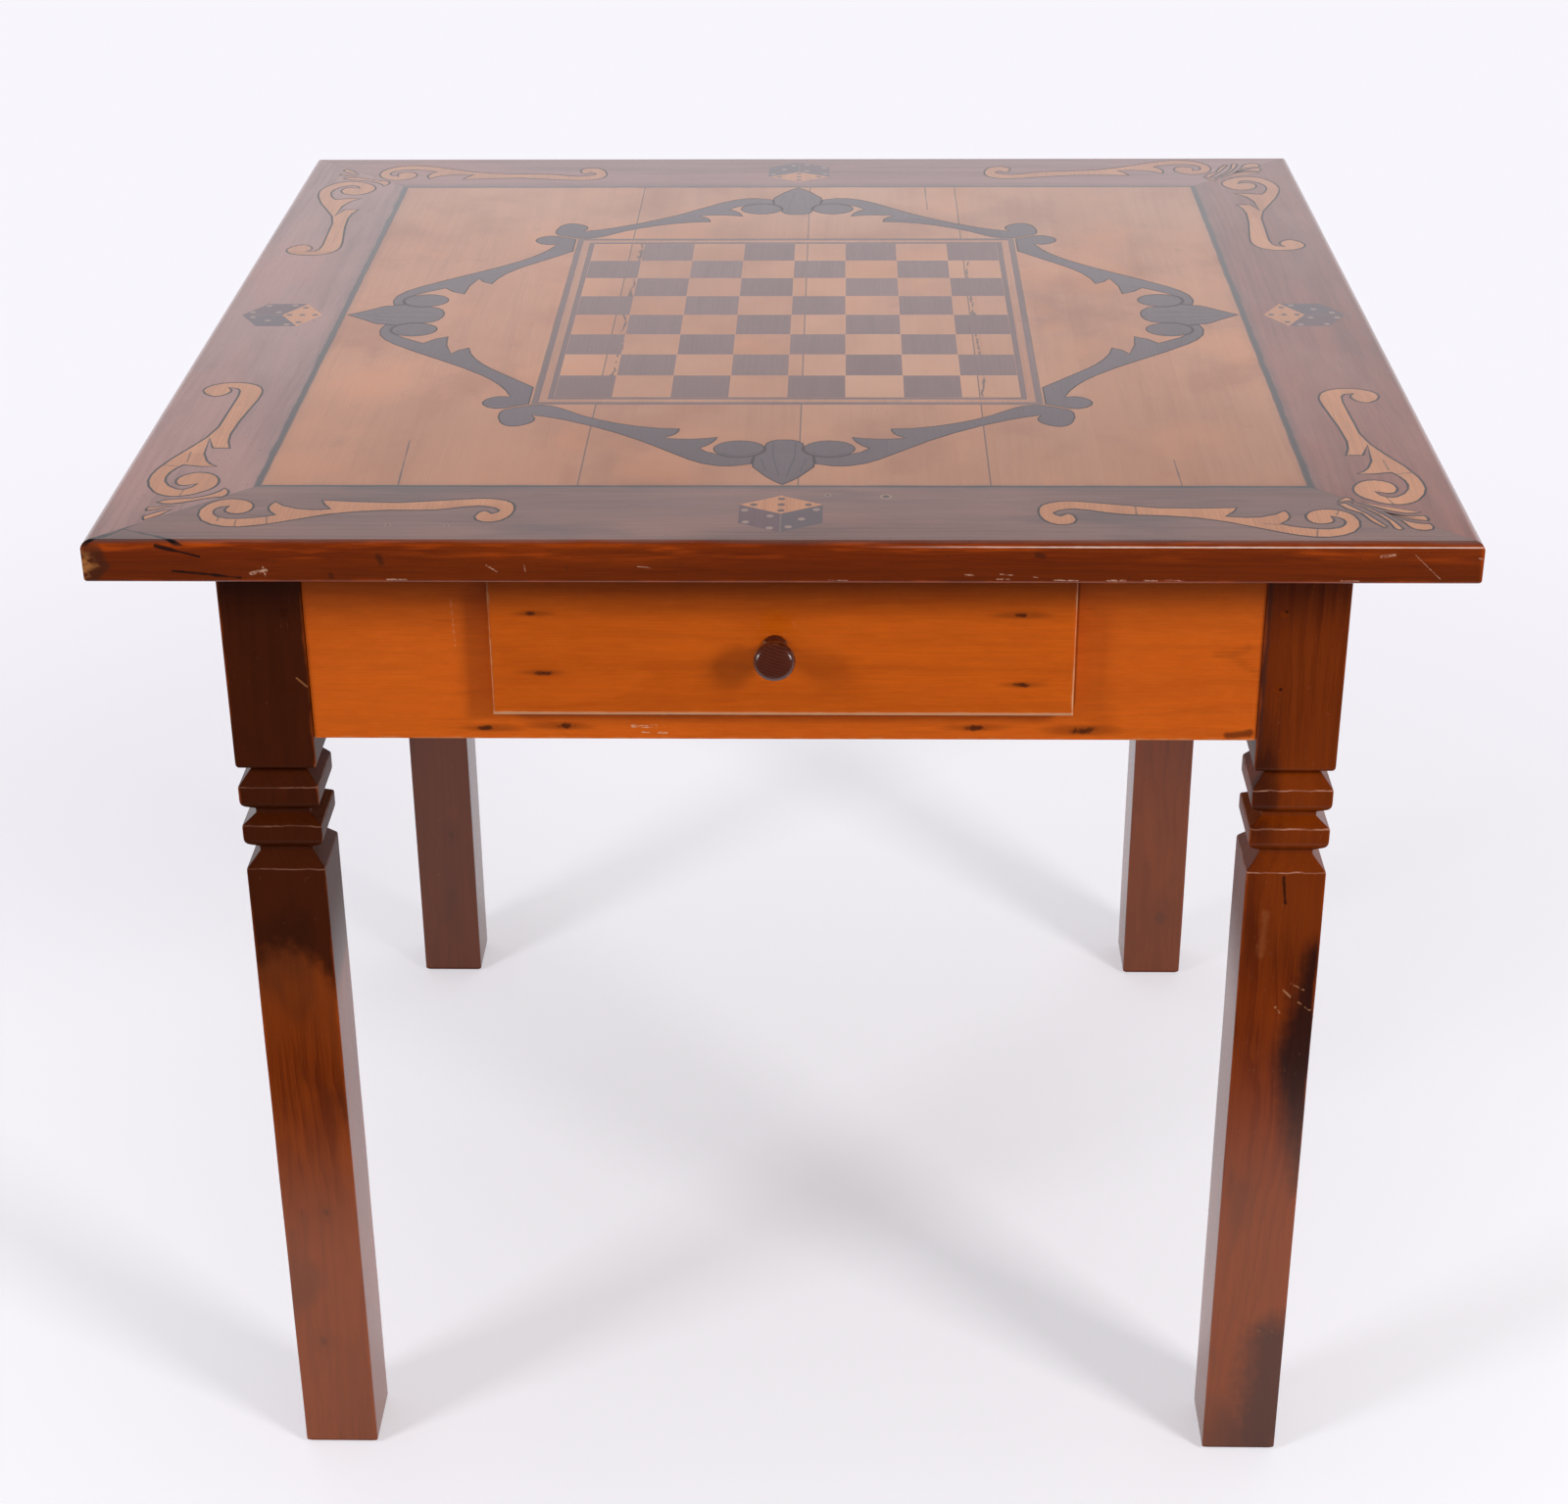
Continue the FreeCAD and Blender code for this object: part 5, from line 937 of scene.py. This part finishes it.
class ChessTablePaleInlay(bpy.types.Operator):
    """Make the pale scrolls and fans with their dyed lines"""
    bl_idname = "chess_table.pale_inlay"
    bl_label = "Pale scrolls and fans"

    def execute(self, context):
        look = context.scene.chess_table_top
        line = line_finish("dyed line", 2.0, tuple(look.line), tint(look.line, 2.2))
        core = inlay_finish("pale scrolls", tuple(look.pale_inlay), 18.4, marks=SCROLL_LINES)
        for node in ("corner_scrolls", "corner_palmettes"):
            body = rimmed(node, look.line_width, look.line_sink)
            place_piece(body, node + "_lined", (core, line), node, "table")
        return {"FINISHED"}


class ChessTableDice(bpy.types.Operator):
    """Make the dice with their pips"""
    bl_idname = "chess_table.dice"
    bl_label = "Dice"

    def execute(self, context):
        look = context.scene.chess_table_top
        give("dice_light_faces", dice_finish("light dice faces", look, True))
        give("dice_dark_faces", dice_finish("dark dice faces", look, False))
        return {"FINISHED"}


# Middles of the dice from the table's middle, and pips as their places across and up a die.
DICE_CENTRE_X, DICE_CENTRE_Y = 378.5, 388.5
LIGHT_PIPS = ((0.0, 24.5), (-17.0, 14.8), (0.0, 15.0), (17.0, 14.8), (0.0, 5.4))
LEFT_PIPS = ((-22.5, 6.0), (-6.5, -3.6), (-21.5, -13.5), (-6.5, -23.0))
RIGHT_PIPS = ((22.0, 7.0), (13.0, -8.5), (5.0, -21.0))
PIP_RADIUS = 2.3


def dice_finish(name, look, light):
    """A die's faces: each die has its own turn, and its light face is towards the board."""
    colour = tuple(look.pale_inlay) if light else (0.098, 0.036, 0.046)
    wood = Wood(name, "y", (20.0, 640.0), 22.0 if light else 27.0, ring=2.4, sway=5.0)
    wood.figure(colour, rings=0.25, fibres=0.30, cloud=0.25)
    front_back = (abs(wood.x) - abs(wood.y)).fall(-0.5, 0.5)
    way_x, way_y = (part.rise(-1.0, 1.0) * 2.0 - 1.0 for part in (wood.x, wood.y))
    side = wood.x * way_y * -1.0 * front_back + wood.y * way_x * (1.0 - front_back)
    up = (DICE_CENTRE_Y - abs(wood.y)) * front_back + (DICE_CENTRE_X - abs(wood.x)) * (1.0 - front_back)
    pips = None
    for at in LIGHT_PIPS if light else LEFT_PIPS + RIGHT_PIPS:
        pip = wood.distance(side, up, at).fall(PIP_RADIUS - 0.35, PIP_RADIUS + 0.35)
        pips = pip if pips is None else pips.most(pip)
    if light:
        wood.stain(pips * 0.92, (0.060, 0.028, 0.022))
    else:
        wood.stain(side.rise(-0.6, 0.6) * 0.55, (0.050, 0.036, 0.044))
        wood.stain(pips * 0.92, (0.27, 0.165, 0.13))
        wood.stain(abs(side).fall(0.3, 0.9) * 0.5, (0.20, 0.12, 0.10))
    return wood.varnished(0.35 + wood.broad * 0.06, wood.grain_height(), 0.0001, coat=1.0)


class ChessTablePosts(bpy.types.Operator):
    """Make the four ringed legs with rubbed arrises, and their pegs"""
    bl_idname = "chess_table.posts"
    bl_label = "Posts and pegs"

    def execute(self, context):
        look = context.scene.chess_table_base
        for corner in ("front_left", "front_right", "back_right", "back_left"):
            node = f"leg_{corner}"
            low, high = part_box(node)
            body = solid_of(node)

            def outside(a, b):
                """An edge of the square post or of a ring, not of a mortise."""
                spot = (a + b) / 2
                out_x = min(abs(spot.x - low.x), abs(spot.x - high.x))
                out_y = min(abs(spot.y - low.y), abs(spot.y - high.y))
                upright = abs(a.z - b.z) > 0.001 and out_x < 0.009 and out_y < 0.009
                crest = any(abs(spot.z - z) < 0.0006 for z in RING_CRESTS)
                return upright or crest or spot.z < 0.004

            def under_ring(a, b):
                """An edge at the underside of a ring."""
                return any(abs(a.z - z) < 0.0004 and abs(b.z - z) < 0.0004 for z in RING_UNDERSIDES)

            ease(body, sharp_edges(body, 20.0, under_ring), look.under_ring, 4)
            ease(body, sharp_edges(body, 22.0, outside), look.arris, 2)
            if look.worn_posts:
                planed(body, (low + high) / 2)
            place_piece(body, f"post_{corner}", (post_finish(corner, look),), node, "table", 30.0)
        give("tenon_pegs", peg_finish(look))
        return {"FINISHED"}


# Knots as their places along the board and up it, their size, and the axis up the board.
APRON_KNOTS = {
    "front": (((-193.6, 598.8), 2.2, "z"), ((-142.5, 600.6), 2.3, "z"), ((124.5, 599.8), 2.6, "z"),
              ((195.5, 598.2), 3.0, "z")),
    "right": (((-150.0, 690.0), 5.0, "z"), ((120.0, 620.0), 6.5, "z")),
    "back": (((-120.0, 655.0), 7.0, "z"), ((210.0, 690.0), 4.0, "z")),
    "left": (((60.0, 640.0), 6.0, "z"),),
}
DRAWER_KNOTS = (((-159.5, 688.0), 1.7, "z"), ((-153.0, 646.5), 2.0, "z"), ((151.0, 687.5), 1.7, "z"),
                ((153.5, 638.8), 2.0, "z"))
DRAWER_BOX = ("drawer_side_left", "drawer_side_right", "drawer_back", "drawer_bottom")


class ChessTableAprons(bpy.types.Operator):
    """Make the four aprons with rubbed lower edges"""
    bl_idname = "chess_table.aprons"
    bl_label = "Aprons"

    def execute(self, context):
        look = context.scene.chess_table_base
        for count, (side, knots) in enumerate(APRON_KNOTS.items()):
            node = f"apron_{side}"
            run = "x" if side in ("front", "back") else "y"
            seed = 30.0 + 7.1 * count
            finish = apron_finish(f"orange pine {side}", node, run, (0.0, 560.0), seed, look, knots)
            body = solid_of(node)
            low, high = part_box(node)

            def lower(a, b):
                """A lower edge of the board, or an edge round the drawer's opening."""
                return max(a.z, b.z) < low.z + 0.0004 or (side == "front" and abs(a.y - b.y) < 1e-5
                                                          and a.y < low.y + 0.0004 and a.z > low.z + 0.002)

            ease(body, sharp_edges(body, 40.0, lower), look.arris * 0.8, 2)
            place_piece(body, f"{node}_board", (finish,), node, "table")
        return {"FINISHED"}


class ChessTableInside(bpy.types.Operator):
    """Finish the blocks, runners and kickers under the top"""
    bl_idname = "chess_table.inside"
    bl_label = "Blocks and rails"

    def execute(self, context):
        look = context.scene.chess_table_base
        give("glue_blocks", bare_finish("glue blocks", "y", 41.0, look, 0.9))
        for count, node in enumerate(("runner_left", "runner_right", "kicker_left", "kicker_right")):
            give(node, bare_finish(node.replace("_", " "), "y", 44.0 + count * 3.1, look, 0.85))
        return {"FINISHED"}


class ChessTableDrawer(bpy.types.Operator):
    """Finish the drawer's front and its bare box"""
    bl_idname = "chess_table.drawer"
    bl_label = "Drawer"

    def execute(self, context):
        look = context.scene.chess_table_base
        front = apron_finish("drawer front", "drawer_front", "x", (0.0, 575.0), 52.0, look, DRAWER_KNOTS, 7.0)
        give("drawer_front", front)
        for count, node in enumerate(DRAWER_BOX):
            run = "y" if "side" in node else "x"
            give(node, bare_finish(node.replace("_", " "), run, 61.0 + count * 3.7, look, 1.05))
        return {"FINISHED"}


# Radius of the knob, and how far out of the drawer's face it has that radius.
KNOB_PROFILE = (
    (4.4, -15.8), (4.4, 0.0), (7.6, 0.2), (7.9, 1.4), (7.0, 2.8), (5.8, 5.4), (5.5, 8.0), (5.9, 10.8),
    (7.4, 13.8), (9.8, 16.8), (11.8, 18.9), (13.0, 20.9), (13.35, 22.8), (13.1, 24.8), (12.0, 26.3),
    (10.0, 27.2), (6.5, 27.9), (3.0, 28.25), (0.0, 28.35),
)
KNOB_SIDES = 48


class ChessTableKnob(bpy.types.Operator):
    """Turn the drawer's knob"""
    bl_idname = "chess_table.knob"
    bl_label = "Turned knob"

    def execute(self, context):
        body = bmesh.new()
        turns = [2 * math.pi * i / KNOB_SIDES for i in range(KNOB_SIDES)]
        rings = []
        for radius, out in KNOB_PROFILE:
            y = (DRAWER_FACE - out) * MM
            spots = [((KNOB_X + radius * math.cos(a)) * MM, y, (KNOB_Z + radius * math.sin(a)) * MM)
                     for a in (turns if radius else turns[:1])]
            rings.append([body.verts.new(spot) for spot in spots])
        for one, two in zip(rings, rings[1:]):
            for i in range(KNOB_SIDES):
                j = (i + 1) % KNOB_SIDES
                last = (two[0],) if len(two) == 1 else (two[j], two[i])
                body.faces.new((one[i], one[j], *last))
        body.faces.new(list(reversed(rings[0])))
        finish = knob_finish(context.scene.chess_table_base)
        place_piece(body, "knob_turned", (finish,), "drawer_knob", "drawer", 50.0)
        return {"FINISHED"}


# Name, place, aim, size, power and colour of the lamps that light the table.
LAMPS = (
    ("key lamp", (2.2, -2.2, 1.93), (0.1, -0.2, 0.45), 0.7, 60.0, (1.0, 0.985, 0.96)),
    ("fill lamp", (-2.3, -1.9, 1.9), (-0.1, -0.2, 0.45), 0.7, 38.0, (0.97, 0.98, 1.0)),
    ("top lamp", (0.0, 0.5, 3.2), (0.0, 0.0, 0.7), 2.6, 29.0, (1.0, 1.0, 1.0)),
)
# The glints stand below the level of the top and make highlights only.
GLINTS = (
    ("right glint", (2.2, -2.2, 0.56), (0.0, -0.4, 0.66), 0.38, 22.0, (1.0, 1.0, 1.0)),
    ("left glint", (-2.3, -1.9, 0.56), (0.0, -0.4, 0.66), 0.38, 20.0, (1.0, 1.0, 1.0)),
)
DARK_ROOM = (0.03, 0.03, 0.035)
CAMERA_SPOT = (0.0383, -2.0180, 1.4252)
CAMERA_TURN = (1.3136, 27.004, 0.432)
CAMERA_LENS = 65.12
FLOOR_RADIUS = 9.0


def lamp(name, spot, aim, size, power, colour):
    """A square soft lamp that points at a spot."""
    light = bpy.data.lights.new(name, "AREA")
    light.shape = "SQUARE"
    light.size = size
    light.energy = power
    light.color = colour
    holder = bpy.data.objects.new(name, light)
    holder.location = spot
    holder.rotation_euler = (Vector(aim) - Vector(spot)).to_track_quat("-Z", "Y").to_euler()
    bpy.context.scene.collection.objects.link(holder)
    return holder


def floor_finish(look):
    """Pale paper that keeps the shadow near the table and passes into the background further off."""
    paper = Finish("pale floor")
    x, y, _ = paper.here()
    crease = paper.clouds(700.0, 2.0, 3.0)
    colour = paper.mix(crease.rise(0.45, 0.7) * 0.04, tuple(look.floor), tint(look.floor, 0.93))
    lit = paper.node("ShaderNodeBsdfPrincipled", None,
                     {"Base Color": colour, "Roughness": 0.75 + crease * 0.1, "Specular IOR Level": 0.15})
    off = (x * x + y * y).root()
    glow = paper.mix(off.rise(500.0, 2300.0), (1.24, 1.215, 1.285), (0.945, 0.925, 0.985))
    plain = paper.node("ShaderNodeEmission", None, {"Color": glow, "Strength": 1.0})
    dim = paper.node("ShaderNodeBsdfDiffuse", None, {"Color": tint(look.floor, 0.52)})
    seen, glossy, through = paper.rays()
    far = off.rise(700.0, 2300.0) * 0.66 + 0.34
    white = paper.node("ShaderNodeMixShader", None, (far, lit, plain))
    both = paper.node("ShaderNodeMixShader", None, (seen.most(glossy).most(through), dim, white))
    beyond = (y + x * 0.13).fall(-885.0, -605.0) * glossy
    room = paper.node("ShaderNodeEmission", None, {"Color": DARK_ROOM, "Strength": 1.0})
    paper.node("ShaderNodeOutputMaterial", None,
               {"Surface": paper.node("ShaderNodeMixShader", None, (beyond, both, room))})
    return paper.material


def white_room(look):
    """Plain light from all round. Mirror rays see white only low down at the back, and dark elsewhere."""
    room = Finish("white room", bpy.data.worlds.new("white room"))
    seen, glossy, through = room.rays()
    _, back, up = room.parts(room.node("ShaderNodeTexCoord", out="Generated"))
    backdrop = up.fall(0.27, 0.55) * back.rise(-0.35, 0.10)
    mirrored = room.mix(backdrop, DARK_ROOM, (1.0, 0.985, 1.03))
    wall = room.mix(glossy, (0.905, 0.888, 0.945), mirrored)
    around = room.node("ShaderNodeBackground", None, {"Color": (0.98, 0.985, 1.0), "Strength": look.sky})
    behind = room.node("ShaderNodeBackground", None, {"Color": wall, "Strength": 1.0})
    both = room.node("ShaderNodeMixShader", None, (seen.most(glossy).most(through), around, behind))
    room.node("ShaderNodeOutputWorld", None, {"Surface": both})
    return room.material


def lay_floor(look):
    """A round floor under the table."""
    body = bmesh.new()
    bmesh.ops.create_circle(body, cap_ends=True, segments=96, radius=FLOOR_RADIUS)
    mesh = bpy.data.meshes.new("floor")
    body.to_mesh(mesh)
    body.free()
    mesh.materials.append(floor_finish(look))
    floor = bpy.data.objects.new("floor", mesh)
    bpy.context.scene.collection.objects.link(floor)


def main_camera():
    """A camera at eye height, turned by its yaw, pitch and roll."""
    yaw, pitch, roll = (math.radians(angle) for angle in CAMERA_TURN)
    level = Vector((math.cos(yaw), math.sin(yaw), 0.0))
    ahead = Vector((-math.sin(yaw), math.cos(yaw), 0.0))
    forward = ahead * math.cos(pitch) - Vector((0.0, 0.0, math.sin(pitch)))
    upright = level.cross(forward)
    right = level * math.cos(roll) - upright * math.sin(roll)
    up = upright * math.cos(roll) + level * math.sin(roll)
    view = bpy.data.cameras.new("camera")
    view.sensor_fit = "HORIZONTAL"
    view.sensor_width = 36.0
    view.lens = CAMERA_LENS
    view.clip_end = 100.0
    camera = bpy.data.objects.new("camera", view)
    bpy.context.scene.collection.objects.link(camera)
    matrix = camera.matrix_world.copy()
    for column, axis in enumerate((right, up, -forward, CAMERA_SPOT)):
        for row in range(3):
            matrix[row][column] = axis[row]
    camera.matrix_world = matrix
    return camera


class ChessTableStage(bpy.types.Operator):
    """Lay the floor, light the table and set up the camera"""
    bl_idname = "chess_table.stage"
    bl_label = "Stage, lamps and camera"

    def execute(self, context):
        look = context.scene.chess_table_stage
        lay_floor(look)
        context.scene.world = white_room(look)
        for name, spot, aim, size, power, colour in LAMPS:
            lamp(name, spot, aim, size, power * look.lamp, colour).visible_glossy = False
        for name, spot, aim, size, power, colour in GLINTS:
            lamp(name, spot, aim, size, power * look.lamp, colour).visible_diffuse = False
        context.scene.camera = main_camera()
        context.scene.view_settings.view_transform = "Standard"
        return {"FINISHED"}


STEPS = (ChessTableField, ChessTableBorders, ChessTableDarkInlay, ChessTablePaleInlay, ChessTableDice,
         ChessTablePosts, ChessTableAprons, ChessTableInside, ChessTableDrawer, ChessTableKnob,
         ChessTableStage)


class ChessTablePanel(bpy.types.Panel):
    """Lists the steps and the looks of the table"""
    bl_idname = "VIEW3D_PT_chess_table"
    bl_label = "Chess Table"
    bl_space_type = "VIEW_3D"
    bl_region_type = "UI"
    bl_category = "Chess Table"

    def draw(self, context):
        column = self.layout.column()
        for step in STEPS:
            column.operator(step.bl_idname)
        for look in LOOKS:
            group = getattr(context.scene, look)
            box = self.layout.box()
            for name in group.bl_rna.properties.keys():
                if name not in ("rna_type", "name"):
                    box.prop(group, name)


LOOKS = {"chess_table_top": ChessTableTopLook, "chess_table_base": ChessTableBaseLook,
         "chess_table_stage": ChessTableStageLook}
CLASSES = (*LOOKS.values(), *STEPS, ChessTablePanel)


def register():
    for item in CLASSES:
        bpy.utils.register_class(item)
    for name, look in LOOKS.items():
        setattr(bpy.types.Scene, name, PointerProperty(type=look))


def unregister():
    for name in LOOKS:
        delattr(bpy.types.Scene, name)
    for item in reversed(CLASSES):
        bpy.utils.unregister_class(item)


def main():
    register()
    for step in STEPS:
        family, name = step.bl_idname.split(".")
        getattr(getattr(bpy.ops, family), name)()


if __name__ == "__main__":
    main()
